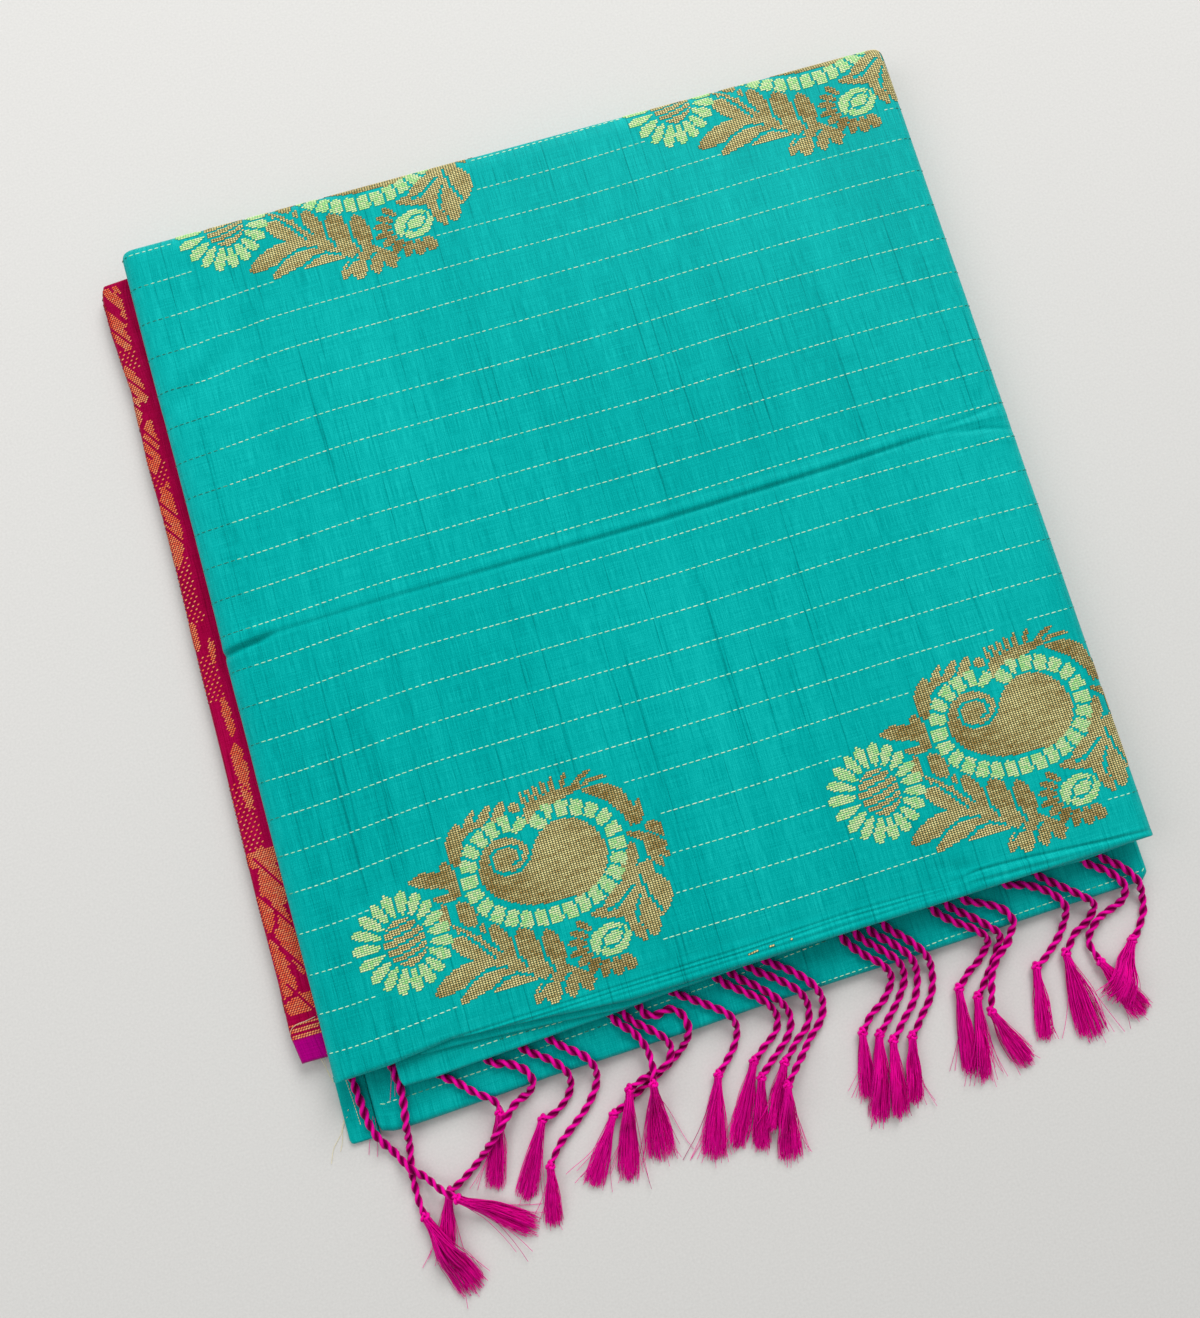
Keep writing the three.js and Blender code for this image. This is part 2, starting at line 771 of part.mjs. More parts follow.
// One tassel: cord, knot and head as a loft, with its locks joined at the head
function tassel({ cord, tip, spread }, laid) {
  const flatCord = new THREE.SplineCurve(cord.map(([x, y]) => new THREE.Vector2(x, y)));
  const girthAt = (share) => THREE.MathUtils.lerp(cordRadius, cordEndRadius, share);
  const radiusAt = (share) => (share > knotShare ? knotRadius : girthAt(share));
  const samples = layPath(flatCord, radiusAt, laid);
  const path = [];
  const radii = [];
  for (let i = 0; i <= cordSteps; i++) {
    const share = (cordShare * i) / cordSteps;
    path.push(pickSample(samples, share, cordReach));
    radii.push(girthAt(share));
  }
  const knotEnd = pickSample(samples, 1, knotReach);
  const knotFlat = new THREE.Vector2(knotEnd.x, knotEnd.y);
  const tipFlat = new THREE.Vector2(...tip);
  const outward = tipFlat.clone().sub(knotFlat).normalize();
  for (const { reach, radius } of headRings) {
    const head = knotFlat.clone().addScaledVector(outward, reach);
    path.push(new THREE.Vector3(head.x, head.y, knotEnd.z));
    radii.push(radius);
  }
  let solid = solidOf(ringLoft(tubeRings(path, radii, cordSides), fanCap(cordSides)));
  const added = [...samples];
  for (let k = 0; k < lockCount; k++) {
    const share = (2 * k) / (lockCount - 1) - 1;
    const flatLock = lockPath(knotFlat, tipFlat, share, spread);
    const upper = k % 2;
    const lockSamples = layPath(flatLock, () => lockRadius, laid);
    const lift = (along) => upper * lockLift * (1 - along * along);
    const lockLine = lockRings.map(({ along }) => {
      const point = pickSample(lockSamples, along, lockReach);
      const headBlend = Math.max(0, 1 - along / headFade);
      point.z = THREE.MathUtils.lerp(point.z + lift(along), Math.max(point.z, knotEnd.z), headBlend);
      return point;
    });
    const girth = lockRings.map((ring) => lockRadius * ring.girth);
    solid = solid.add(solidOf(ringLoft(tubeRings(lockLine, girth, 3), fanCap(3))));
    lockLine.forEach((point, i) => {
      if (i === 0) return;
      const before = lockLine[i - 1];
      const steps = Math.ceil(before.distanceTo(point) / sampleStep);
      for (let step = 1; step <= steps; step++) {
        const p = before.clone().lerp(point, step / steps);
        added.push({ x: p.x, y: p.y, z: p.z, radius: lockRadius });
      }
    });
  }
  path.forEach((point, i) => added.push({ x: point.x, y: point.y, z: point.z, radius: radii[i] }));
  return { geometry: geometryOf(solid), added };
}

const saree = new THREE.Group();

// Adds one named piece with its own finish
function addPiece(name, geometry, finish) {
  const mesh = new THREE.Mesh(geometry, new THREE.MeshStandardMaterial(finish));
  mesh.name = name;
  saree.add(mesh);
}

addPiece("top_fold", topFold(), finishes.tealSilk);
addPiece("hidden_folds", hiddenFolds(), finishes.tealSilk);
addPiece("middle_fold", frontFlap(middleLine, middleFold), finishes.tealSilk);
addPiece("second_fold", frontFlap(secondLine, secondFold), finishes.tealSilk);
addPiece("under_fold", frontFlap(underLine, underFold), finishes.tealSilk);
addPiece("corner_fold", cornerPad(cornerFold), finishes.tealSilk);
addPiece("pallu_fold", sideFlap(palluLine, palluFold), finishes.magentaZari);

const laid = [];
for (const row of tassels) {
  const { geometry, added } = tassel(row, laid);
  laid.push(...added);
  addPiece(row.name, geometry, finishes.magentaThread);
}

export default saree;
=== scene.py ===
import math

import bpy
import numpy as np
from mathutils import Matrix, Vector


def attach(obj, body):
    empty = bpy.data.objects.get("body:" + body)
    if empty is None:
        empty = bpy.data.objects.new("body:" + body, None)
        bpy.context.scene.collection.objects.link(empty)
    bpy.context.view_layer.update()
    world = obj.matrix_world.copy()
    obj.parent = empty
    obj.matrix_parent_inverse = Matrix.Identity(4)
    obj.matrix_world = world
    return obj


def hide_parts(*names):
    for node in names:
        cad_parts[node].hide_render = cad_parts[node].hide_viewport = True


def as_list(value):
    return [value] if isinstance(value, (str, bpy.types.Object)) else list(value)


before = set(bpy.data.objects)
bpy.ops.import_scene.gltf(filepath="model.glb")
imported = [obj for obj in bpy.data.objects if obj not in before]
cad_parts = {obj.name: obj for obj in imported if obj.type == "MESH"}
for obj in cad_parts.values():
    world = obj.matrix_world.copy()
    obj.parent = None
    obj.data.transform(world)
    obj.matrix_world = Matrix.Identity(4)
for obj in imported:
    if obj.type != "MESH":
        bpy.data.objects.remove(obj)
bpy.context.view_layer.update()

MM = 0.001
SEED = 7
chance = np.random.default_rng(SEED)

# Sizes of the folded stack, the same as in the part's source
HALF_WIDTH = 190
BACK_EDGE = 198.5
FRONT_EDGE = -198.5
TOP_HEIGHT = 22
SIDE_ROLL = 9
SIDE_DROP = 4.5
FRONT_ROLL = 3
FRONT_DROP = 2
SKIRT_FOOT = 12.6
FRONT_SKIRT = 1.9
SKIRT_BLEND = 12
DOME_RISE = 0.5
TOP_FRONT_LINE = [
    (-190, -198.2), (-165, -197.6), (-136, -194.6), (-97, -197.3), (-56, -200.8), (-5, -200.6),
    (90, -200), (190, -198.5),
]
CREASE_LINE = [(-190, -2.6), (-165, 0.4), (-110, 1.2), (20, 1), (100, 2.8), (145, 4.6), (190, 4)]
CREASE_DEPTH = [
    (-190, 1.6), (-174, 1.3), (-163, 0.45), (-100, 0.6), (-40, 0.95), (60, 1.35), (125, 1.2), (150, 0.7),
    (190, 0.2),
]
CREASE_REACH = 1.1
CREASE_SLOPE = 9
CREASE_RIDGE = 2.4

# Folded flaps at the front: height of the lower face, thickness, where they start and their fold line
FLAP_BACK = -192.5
UNDER_FOLD = {
    "bottom": 0, "thick": 6.3,
    "creases": [
        ([(-150, -200), (-146, -212), (-148, -224)], 0.35, 3), ([(-60, -204), (-56, -222)], 0.3, 4),
        ([(30, -204), (38, -212), (36, -220)], 0.35, 4), ([(96, -202), (90, -219)], 0.3, 4),
        ([(-176, -216), (-168, -219), (-150, -220)], 0.3, 2), ([(-20, -215), (60, -212)], -0.2, 4),
    ],
    "line": [
        (-180, -221.5), (-178.6, -226), (-173, -227.8), (-158, -227.6), (-127, -226.4),
        (-101, -225.1), (-70, -224.7), (-29, -223.9), (1, -222.6), (53, -221.8), (82, -221.3),
        (135, -220), (184, -219), (188, -215.5),
    ],
}
SECOND_FOLD = {
    "bottom": 11.2, "thick": 3.4,
    "creases": [
        ([(-147, -197), (-146, -203.4)], 0.35, 0.6), ([(-131, -197), (-131.6, -202.6)], 0.35, 0.6),
        ([(-146, -203.2), (-131, -202.6)], 0.35, 0.5), ([(-160, -199), (-159, -207)], 0.3, 1),
        ([(-118, -204.4), (-80, -203.8)], 0.25, 0.8), ([(-139, -198), (-139, -202)], -0.2, 2),
    ],
    "line": [
        (-163.5, -205.5), (-162, -208.9), (-149, -209.1), (-127, -208.1), (-91, -206.5),
        (-69, -205.5), (-40, -203.8), (0, -202), (50, -200.9), (88, -200.8), (119, -199.6),
        (157, -201.2), (183, -199.6), (187.6, -198.4),
    ],
}
MIDDLE_FOLD = {
    "bottom": 14.9, "thick": 2.3,
    "line": [
        (-151, -197.6), (-128, -198.6), (-97, -200.8), (-60, -203.9), (-40, -202.9),
        (-5, -201.7), (60, -200.6), (120, -199.2), (187, -197.8),
    ],
}
CORNER_FOLD = {
    "right": -180.3, "front": -228.5, "inner": -180.3, "thick": 2.7,
    "inner_rise": 0, "outer_rise": 0,
    "line": [(-194, -192.5), (-194, -226.4), (-193.4, -227.9), (-192.2, -228.5)],
}

# Pallu's fold along the left side
PALLU_FOLD = {
    "inner": -189, "thick": 3.2, "inner_rise": 6.6, "outer_rise": 4.6,
    "line": [
        (-204.6, 190.4), (-206.8, 183), (-206.6, 165), (-204.3, 135), (-205.2, 100), (-204.4, 60),
        (-205.2, 0), (-205.4, -50), (-206.2, -110), (-206, -150), (-206.6, -175), (-204.6, -187.8),
    ],
}

# Hidden layers
HIDDEN_HALF = 189.3
HIDDEN_BACK = 198
HIDDEN_FRONT = -192.2
HIDDEN_TOP = 12.3

# Tassels, in the order in which they lie on each other: the cord's points from root to knot, the
# tip of its brush, and the half angle over which the brush spreads
CORD_RADIUS = 2.1
CORD_END_RADIUS = 1.7
KNOT_SHARE = 0.9
KNOT_RADIUS = 3
LOCK_COUNT = 6
LOCK_RADIUS = 1.3
LOCK_LIFT = 2.7
LOCK_ROOT = 0.06
LOCK_BOW = 1.35
LOCK_SHORT = 0.09
LOCK_RAGGED = 0.05
RAGGED_TURNS = 9
REST_GAP = 0.32
SEAM_GAP = 0.3
RAMP_SLOPE = 0.7
SAMPLE_STEP = 1
TASSELS = {
    "03": ([(-156, -194), (-147, -209), (-141, -214), (-134, -221), (-127, -227), (-126, -233)],
           (-138, -266), 0.13),
    "04": ([(-132, -194), (-124, -210), (-117, -213), (-110, -218), (-108, -224), (-112, -229),
            (-119, -232), (-126, -238), (-133, -244), (-141, -251), (-149, -256), (-157, -260)],
           (-167, -290), 0.14),
    "02": ([(-167, -194), (-165, -209), (-166, -221), (-169, -237), (-171, -249), (-171, -259),
            (-170, -267)],
           (-156, -305), 0.2),
    "01": ([(-186, -194), (-184.5, -209), (-183, -222), (-179, -232), (-173, -241), (-167, -249),
            (-160, -256), (-153, -262)],
           (-123, -287), 0.15),
    "05": ([(-116, -194), (-108, -209), (-102, -214), (-96, -219), (-92, -226), (-94, -234),
            (-101, -240), (-109, -242)],
           (-127, -274), 0.14),
    "06": ([(-104, -194), (-96, -208), (-90, -214), (-83, -220), (-80, -227), (-82, -235),
            (-89, -243), (-97, -249), (-105, -255), (-111, -262)],
           (-117, -288), 0.16),
    "09": ([(-54, -194), (-53, -208), (-48, -212), (-41, -211), (-36, -215), (-35, -222),
            (-39, -229), (-46, -234), (-56, -239), (-67, -244), (-78, -249)],
           (-96, -277), 0.16),
    "08": ([(-66, -194), (-60, -209), (-53, -216), (-47, -222), (-45, -229), (-50, -235),
            (-59, -237), (-68, -240)],
           (-80, -280), 0.12),
    "07": ([(-72, -194), (-66, -208), (-60, -215), (-56, -223), (-55, -232), (-57, -240)],
           (-63, -276), 0.2),
    "10": ([(-43, -194), (-37.5, -204), (-31, -209), (-23, -215), (-16, -221), (-14, -229),
            (-18, -237), (-28, -246)],
           (-41, -282), 0.16),
    "11": ([(-22, -194), (-15, -206), (-7, -213), (1, -220), (5, -228), (3, -235), (-4, -240),
            (-11, -245)],
           (-30, -280), 0.12),
    "12": ([(-15, -194), (-8, -206), (0, -213), (7, -221), (11, -230), (8, -238), (0, -245),
            (-10, -252)],
           (-19, -284), 0.12),
    "13": ([(-8, -194), (0, -205), (9, -212), (17, -220), (20, -229), (17, -237), (9, -243),
            (2, -249)],
           (-12, -276), 0.13),
    "14": ([(0, -194), (8, -204), (17, -211), (24, -219), (27, -228), (24, -236), (16, -243),
            (8, -250), (0, -258)],
           (-8, -292), 0.17),
    "15": ([(40, -194), (44, -205), (50, -213), (57, -220), (60, -228), (54, -236), (46, -241),
            (40, -247)],
           (34, -276), 0.12),
    "16": ([(46.5, -194), (50.5, -205), (57, -212), (64, -220), (66, -229), (61, -237),
            (54, -244), (47, -250)],
           (36, -288), 0.14),
    "17": ([(53, -194), (57, -205), (64, -212), (70, -220), (72, -229), (68, -239), (60, -247),
            (52, -254)],
           (45, -288), 0.13),
    "18": ([(60, -194), (64, -205), (70, -211), (76, -219), (79, -228), (76, -239), (68, -248),
            (61, -255)],
           (53, -284), 0.14),
    "19": ([(83, -194), (87, -204), (94, -211), (102, -217), (107, -224), (102, -231),
            (94, -236), (88, -241)],
           (82, -280), 0.1),
    "20": ([(89.5, -194), (94, -204), (102, -211), (108, -217), (113, -224), (108, -233),
            (101, -241), (95, -247)],
           (87, -284), 0.1),
    "21": ([(96.5, -194), (101.5, -203), (109, -207), (117, -212), (120, -219), (116, -226),
            (108, -233), (102, -242), (98, -254)],
           (109, -283), 0.18),
    "22": ([(115, -194), (122, -202), (131, -205), (140, -211), (145, -219), (143, -228),
            (135, -236), (125, -242)],
           (119, -275), 0.12),
    "23": ([(131, -194), (138, -203), (146, -210), (154, -217), (159, -223), (155, -229),
            (147, -233), (140, -240)],
           (141, -281), 0.2),
    "24": ([(155.5, -194), (160, -203), (169, -210), (174, -218), (172, -225), (164, -228),
            (156, -231), (152, -239), (154, -248)],
           (167, -277), 0.18),
    "25": ([(163, -194), (168, -203), (176, -210), (181, -219), (182, -229), (177, -238),
            (171, -243)],
           (154, -268), 0.24),
}


# Meshes and node trees

def linear(code):
    """Linear colour of an sRGB code such as 00A9A2"""
    shares = [int(code[i:i + 2], 16) / 255 for i in (0, 2, 4)]
    values = [s / 12.92 if s <= 0.04045 else ((s + 0.055) / 1.055) ** 2.4 for s in shares]
    return (*values, 1.0)


def add_mesh(name, points, faces=(), edges=(), material=None):
    """Object with a smooth mesh from points in millimetres"""
    mesh = bpy.data.meshes.new(name)
    places = (np.asarray(points, dtype=float) * MM).tolist()
    mesh.from_pydata(places, list(edges), list(faces))
    mesh.update()
    piece = bpy.data.objects.new(name, mesh)
    bpy.context.collection.objects.link(piece)
    if material:
        mesh.materials.append(material)
    if len(mesh.polygons):
        mesh.shade_smooth()
    return piece


def set_uv(piece, name, coordinates):
    """UV map from one pair of numbers for each point, in millimetres of flat cloth"""
    mesh = piece.data
    layer = mesh.uv_layers.new(name=name)
    corners = np.empty(len(mesh.loops), dtype=int)
    mesh.loops.foreach_get("vertex_index", corners)
    layer.data.foreach_set("uv", (np.asarray(coordinates)[corners] * MM).ravel())


def set_attribute(piece, name, values):
    """Number or vector for each point"""
    values = np.asarray(values, dtype=float)
    kind = "FLOAT" if values.ndim == 1 else "FLOAT_VECTOR"
    attribute = piece.data.attributes.new(name, kind, "POINT")
    attribute.data.foreach_set("value" if values.ndim == 1 else "vector", values.ravel())


def add_modifier(piece, kind, **settings):
    modifier = piece.modifiers.new(kind.title(), kind)
    for name, value in settings.items():
        setattr(modifier, name, value)
    return modifier


def made_plain(piece):
    """The piece with its modifiers turned into a plain mesh"""
    graph = bpy.context.evaluated_depsgraph_get()
    mesh = bpy.data.meshes.new_from_object(piece.evaluated_get(graph))
    name = piece.name
    bpy.data.objects.remove(piece)
    mesh.name = name
    plain = bpy.data.objects.new(name, mesh)
    bpy.context.collection.objects.link(plain)
    return plain


class NodeTree:
    """Short way to add nodes to a tree and to join them"""

    def __init__(self, tree):
        self.tree = tree

    def add(self, kind, inputs=None, **settings):
        node = self.tree.nodes.new(kind)
        for name, value in settings.items():
            setattr(node, name, value)
        for key, value in (inputs or {}).items():
            socket = node.inputs[key]
            if isinstance(value, bpy.types.NodeSocket):
                self.tree.links.new(value, socket)
            else:
                socket.default_value = value
        return node

    def out(self, kind, inputs=None, **settings):
        """First output of a new node"""
        return self.add(kind, inputs, **settings).outputs[0]

    def math(self, operation, *values):
        return self.out("ShaderNodeMath", dict(enumerate(values)), operation=operation)

    def vector(self, operation, *values):
        return self.out("ShaderNodeVectorMath", dict(enumerate(values)), operation=operation)

    def scaled(self, vector, factor):
        return self.out("ShaderNodeVectorMath", {0: vector, "Scale": factor}, operation="SCALE")

    def combined(self, *values):
        return self.out("ShaderNodeCombineXYZ", dict(enumerate(values)))

    def mix(self, factor, low, high):
        """Mix of two colours"""
        inputs = {0: factor, 6: low, 7: high}
        return self.add("ShaderNodeMix", inputs, data_type="RGBA").outputs[2]

    def ramp(self, value, start, end, low=0.0, high=1.0, smooth=True):
        """Value taken from one range to another, clamped"""
        kind = "SMOOTHSTEP" if smooth else "LINEAR"
        inputs = {"Value": value, "From Min": start, "From Max": end, "To Min": low, "To Max": high}
        return self.out("ShaderNodeMapRange", inputs, interpolation_type=kind)

    def named(self, name, kind="FLOAT"):
        """Attribute of the points by its name"""
        return self.out("GeometryNodeInputNamedAttribute", {"Name": name}, data_type=kind)

    def stored(self, geometry, name, value, kind="FLOAT"):
        """Geometry with a value kept under a name at each point"""
        inputs = {"Geometry": geometry, "Name": name, "Value": value}
        return self.out("GeometryNodeStoreNamedAttribute", inputs, data_type=kind, domain="POINT")

    def finish(self, geometry, start, end):
        """Smooth geometry in its finish, joined to the end of the tree"""
        smooth = self.out("GeometryNodeSetShadeSmooth", {"Geometry": geometry})
        inputs = {"Geometry": smooth, "Material": start.outputs["Finish"]}
        self.tree.links.new(self.out("GeometryNodeSetMaterial", inputs), end.inputs[0])


def geometry_tree(name, sockets):
    """New Geometry Nodes tree with its named inputs, its helper, and its two end nodes"""
    tree = bpy.data.node_groups.new(name, "GeometryNodeTree")
    tree.interface.new_socket("Geometry", in_out="INPUT", socket_type="NodeSocketGeometry")
    tree.interface.new_socket("Geometry", in_out="OUTPUT", socket_type="NodeSocketGeometry")
    for label, kind, value in sockets:
        socket = tree.interface.new_socket(label, in_out="INPUT", socket_type="NodeSocket" + kind)
        if value is not None:
            socket.default_value = value
    nodes = NodeTree(tree)
    start = nodes.add("NodeGroupInput")
    end = nodes.add("NodeGroupOutput")
    return tree, nodes, start, end


def run_tree(piece, tree, values):
    """The piece after a Geometry Nodes tree, as a plain mesh"""
    modifier = piece.modifiers.new(tree.name, "NODES")
    modifier.node_group = tree
    for item in tree.interface.items_tree:
        if item.in_out == "INPUT" and item.name in values:
            modifier[item.identifier] = values[item.name]
    return made_plain(piece)


# Cloth surfaces

def line_at(line, x):
    """Value of a line of points at x, along straight stretches"""
    places = np.asarray(line, dtype=float)
    return np.interp(x, places[:, 0], places[:, 1])


def smooth_share(value, start, end):
    share = np.clip((value - start) / (end - start), 0, 1)
    return share * share * (3 - 2 * share)


def fold_table(out, down, steps=40):
    """Cloth length, reach and fall along a quarter of an elliptical fold"""
    angles = np.linspace(0, math.pi / 2, steps)
    reach = out * np.sin(angles)
    fall = down * (1 - np.cos(angles))
    lengths = np.concatenate([[0], np.cumsum(np.hypot(np.diff(reach), np.diff(fall)))])
    return lengths, reach, fall


SIDE_FOLD = fold_table(SIDE_ROLL, SIDE_DROP)
FRONT_FOLD = fold_table(FRONT_ROLL, FRONT_DROP)
SIDE_TURN = SIDE_FOLD[0][-1]
FRONT_TURN = FRONT_FOLD[0][-1]
SKIRT_LENGTH = TOP_HEIGHT - SIDE_DROP - SKIRT_FOOT
LIP_RADIUS = 0.7
LIP_LENGTH = 3.2


def fold_over(past, table, skirt):
    """Reach out and fall of cloth past the start of a fold, with a skirt and a lip turned under"""
    lengths, reach, fall = table
    out = np.interp(past, lengths, reach)
    down = np.interp(past, lengths, fall)
    below = np.clip(past - lengths[-1], 0, None)
    hanging = np.minimum(below, skirt)
    turned = np.clip(below - skirt, 0, None)
    angle = np.minimum(turned / LIP_RADIUS, math.pi / 2)
    back = np.clip(turned - LIP_RADIUS * math.pi / 2, 0, None)
    out = out - LIP_RADIUS * (1 - np.cos(angle)) - back
    down = down + hanging + LIP_RADIUS * np.sin(angle)
    return out, down


# Creases of the top fold: points, depth (less than 0 for a ridge) and half width
TOP_CREASES = [
    # notch and slack cloth at the left edge
    ([(-192, -3.4), (-178, -1.6), (-166, -0.2)], 1.5, 1.3),
    ([(-191, -8), (-178, -5.4)], -0.5, 2.4),
    ([(-189, 3.6), (-176, 4.4), (-164, 4.6)], -0.5, 2.2),
    ([(-192, 8), (-192, 60), (-191, 118)], 1.5, 15),
    ([(-192, -60), (-192, -20)], 0.6, 12),
    ([(-191, 112), (-176, 119), (-163, 127), (-150, 136), (-138, 147)], 1.1, 5),
    ([(-186, 124), (-172, 131), (-160, 138), (-148, 149)], -0.7, 4.6),
    ([(-190, 92), (-176, 95), (-162, 101)], 0.35, 5),
    ([(-190, 60), (-181, 54), (-172, 44)], 0.4, 5),
    ([(-190, 20), (-180, 16), (-170, 15)], 0.3, 4),
    ([(-168, -132), (-156, -126), (-143, -117)], 0.6, 4),
    ([(-172, -140), (-160, -134), (-148, -128)], -0.35, 4),
    # wrinkles that run out to the right edge
    ([(160, 3.2), (176, 1), (191, -3)], 0.7, 1.2),
    ([(150, 6.4), (172, 8.2), (191, 11)], 0.6, 1.5),
    ([(166, 5.2), (180, 4.6), (191, 4.4)], -0.5, 1.4),
    ([(168, -2.6), (180, -5), (191, -9)], -0.4, 2.2),
    ([(172, 14), (182, 17), (191, 22)], 0.4, 3),
    ([(176, -18), (184, -21), (191, -26)], 0.25, 3.4),
    # broad unevenness of the panel
    ([(-175, -2), (-191, -7)], -0.3, 2),
    ([(-150, 170), (-146, 150), (-139, 128)], 0.3, 7),
    ([(-120, -20), (-60, -26), (20, -22)], 0.25, 9),
    ([(40, 60), (44, 110), (52, 160)], 0.28, 12),
    ([(92, -60), (86, 0), (90, 70)], 0.24, 12),
    ([(-70, 40), (-66, 100), (-60, 150)], 0.24, 14),
    ([(150, 40), (146, 90), (150, 150)], -0.24, 14),
    ([(-20, -190), (-12, -150), (-14, -100)], 0.2, 10),
    ([(60, -196), (100, -189), (150, -190)], 0.3, 4),
    # long tucks at the front
    ([(-172, -197), (-150, -195.4), (-128, -194.2), (-60, -193.6), (0, -193.4), (50, -192.2),
      (80, -192.9), (98, -193.8)], 0.8, 0.7),
    ([(-166, -198), (-128, -196.1), (-60, -195.2), (0, -195.1), (40, -193.9), (75, -194.6),
      (98, -195)], 0.85, 0.7),
    ([(-170, -196), (-128, -195.1), (-60, -194.4), (0, -194.2), (45, -193), (80, -193.8),
      (98, -194.4)], -0.3, 0.6),
    ([(-120, -197.6), (-60, -197.4), (0, -197.2), (60, -196.8), (98, -196.2)], 0.5, 0.8),
    ([(-160, -193.6), (-110, -191.2), (-40, -190.4), (30, -189.4), (94, -190)], 0.55, 3.4),
    ([(-120, -186), (-60, -183.6), (40, -183), (90, -184)], 0.3, 5),
    ([(96, -190.5), (98.6, -193.5), (99.4, -198)], 1.1, 1),
    ([(88, -183), (97, -186.4), (108, -189.6)], 0.8, 3),
    ([(100, -191.4), (106, -190), (118, -190)], -0.5, 1.6),
    ([(152, -180), (154.6, -186), (155.4, -194)], 0.4, 1.2),
    ([(98, -194), (102, -191.8), (108, -190.8), (130, -191.8), (150, -193.2), (168, -194.6),
      (189, -196)], 1.3, 0.8),
    ([(98, -196), (104, -193.6), (130, -194.4), (160, -195.8)], -0.4, 0.7),
    ([(103, -191.6), (130, -192.2), (160, -193.4), (186, -194)], -0.3, 1.1),
    ([(103, -195.4), (125, -196.2), (150, -197.2)], 0.5, 0.8),
]


def crease_depth(x, y, creases):
    """How deep a list of creases makes the cloth at each place"""
    total = np.zeros(np.shape(x))
    for points, depth, reach in creases:
        points = np.asarray(points, dtype=float)
        lengths = np.concatenate([[0], np.cumsum(np.hypot(*np.diff(points, axis=0).T))])
        nearest = np.full(np.shape(x), 1e9)
        along = np.zeros(np.shape(x))
        for i in range(len(points) - 1):
            start = points[i]
            step = points[i + 1] - start
            size = step @ step
            share = np.clip(((x - start[0]) * step[0] + (y - start[1]) * step[1]) / size, 0, 1)
            apart = np.hypot(x - start[0] - share * step[0], y - start[1] - share * step[1])
            closer = apart < nearest
            nearest = np.where(closer, apart, nearest)
            along = np.where(closer, lengths[i] + share * math.sqrt(size), along)
        middle = along / lengths[-1]
        swell = np.clip(4 * middle * (1 - middle), 0.05, 1) ** 0.5
        total += depth * swell * np.exp(-((nearest / reach) ** 2))
    return total


def long_crease(x, y):
    """Depth of the crease across the top fold: steep behind it, with a ridge, and slow in front"""
    past = y - line_at(CREASE_LINE, x)
    trough = np.exp(-((past / CREASE_REACH) ** 2))
    slope = 0.55 * np.exp(np.clip(past, None, 0) / CREASE_SLOPE) * (past < 0)
    slope = slope * (1 - np.exp(-((past / CREASE_REACH) ** 2)))
    ridge = 0.45 * np.exp(-(((past - CREASE_RIDGE - 0.4) / CREASE_RIDGE) ** 2))
    return line_at(CREASE_DEPTH, x) * (trough + slope - ridge)


def top_surface(u, v):
    """Point of the top fold at a place of its flat cloth"""
    u = np.asarray(u, dtype=float)
    v = np.asarray(v, dtype=float)
    front = line_at(TOP_FRONT_LINE, np.clip(u, -HALF_WIDTH, HALF_WIDTH))
    side = np.abs(u) - (HALF_WIDTH - SIDE_ROLL)
    back = v - (BACK_EDGE - SIDE_ROLL)
    ahead = front + FRONT_ROLL - v
    over_side = np.clip(side, 0, None)
    over_back = np.clip(back, 0, None)
    past = (over_side ** 4 + over_back ** 4) ** 0.25 + 1e-9
    near_front = smooth_share(v - front, 0, SKIRT_BLEND)
    skirt = FRONT_SKIRT + (SKIRT_LENGTH - FRONT_SKIRT) * near_front
    out, down = fold_over(past, SIDE_FOLD, skirt)
    out_front, down_front = fold_over(np.clip(ahead, 0, None), FRONT_FOLD, FRONT_SKIRT)
    x = np.sign(u) * (np.minimum(np.abs(u), HALF_WIDTH - SIDE_ROLL) + out * over_side / past)
    y = np.minimum(v, BACK_EDGE - SIDE_ROLL) + out * over_back / past
    y = np.where(ahead > 0, front + FRONT_ROLL - out_front, y)
    dome = DOME_RISE * (1 - (x / HALF_WIDTH) ** 2) * (1 - (y / BACK_EDGE) ** 2)
    fall = np.maximum(down, down_front)
    crease = long_crease(x, y)
    wrinkles = crease_depth(x, y, TOP_CREASES)
    z = TOP_HEIGHT - DOME_RISE + dome - crease - wrinkles - fall
    return np.stack([x, y, z], axis=-1)


def closed_end(place, low, high, reach):
    """Share of a flap's thickness left near its two ends, where it rounds off"""
    inward = np.clip(np.minimum(place - low, high - place) / reach, 0, 1)
    return np.sqrt(np.clip(1 - (1 - inward) ** 2, 0.0004, 1))


def fold_section(distance, radius):
    """How far in and how high cloth lies at a distance from the middle of its fold"""
    quarter = radius * math.pi / 2
    angle = np.clip(distance, -quarter, quarter) / radius
    flat = np.clip(np.abs(distance) - quarter, 0, None)
    return radius * (1 - np.cos(angle)) + flat, radius * np.sin(angle)


def flap_surface(fold):
    """Surface of a folded flap: u along its front, v in from the middle of its fold, over the top"""
    radius = fold["thick"] / 2
    low, high = fold["line"][0][0], fold["line"][-1][0]

    def surface(u, v):
        u = np.asarray(u, dtype=float)
        v = np.asarray(v, dtype=float)
        inward, height = fold_section(v, radius)
        y = line_at(fold["line"], u) + inward
        height = height - np.sign(v) * crease_depth(u, y, fold.get("creases", ()))
        z = fold["bottom"] + radius + height * closed_end(u, low, high, radius)
        return np.stack([u, y, z], axis=-1)

    return surface


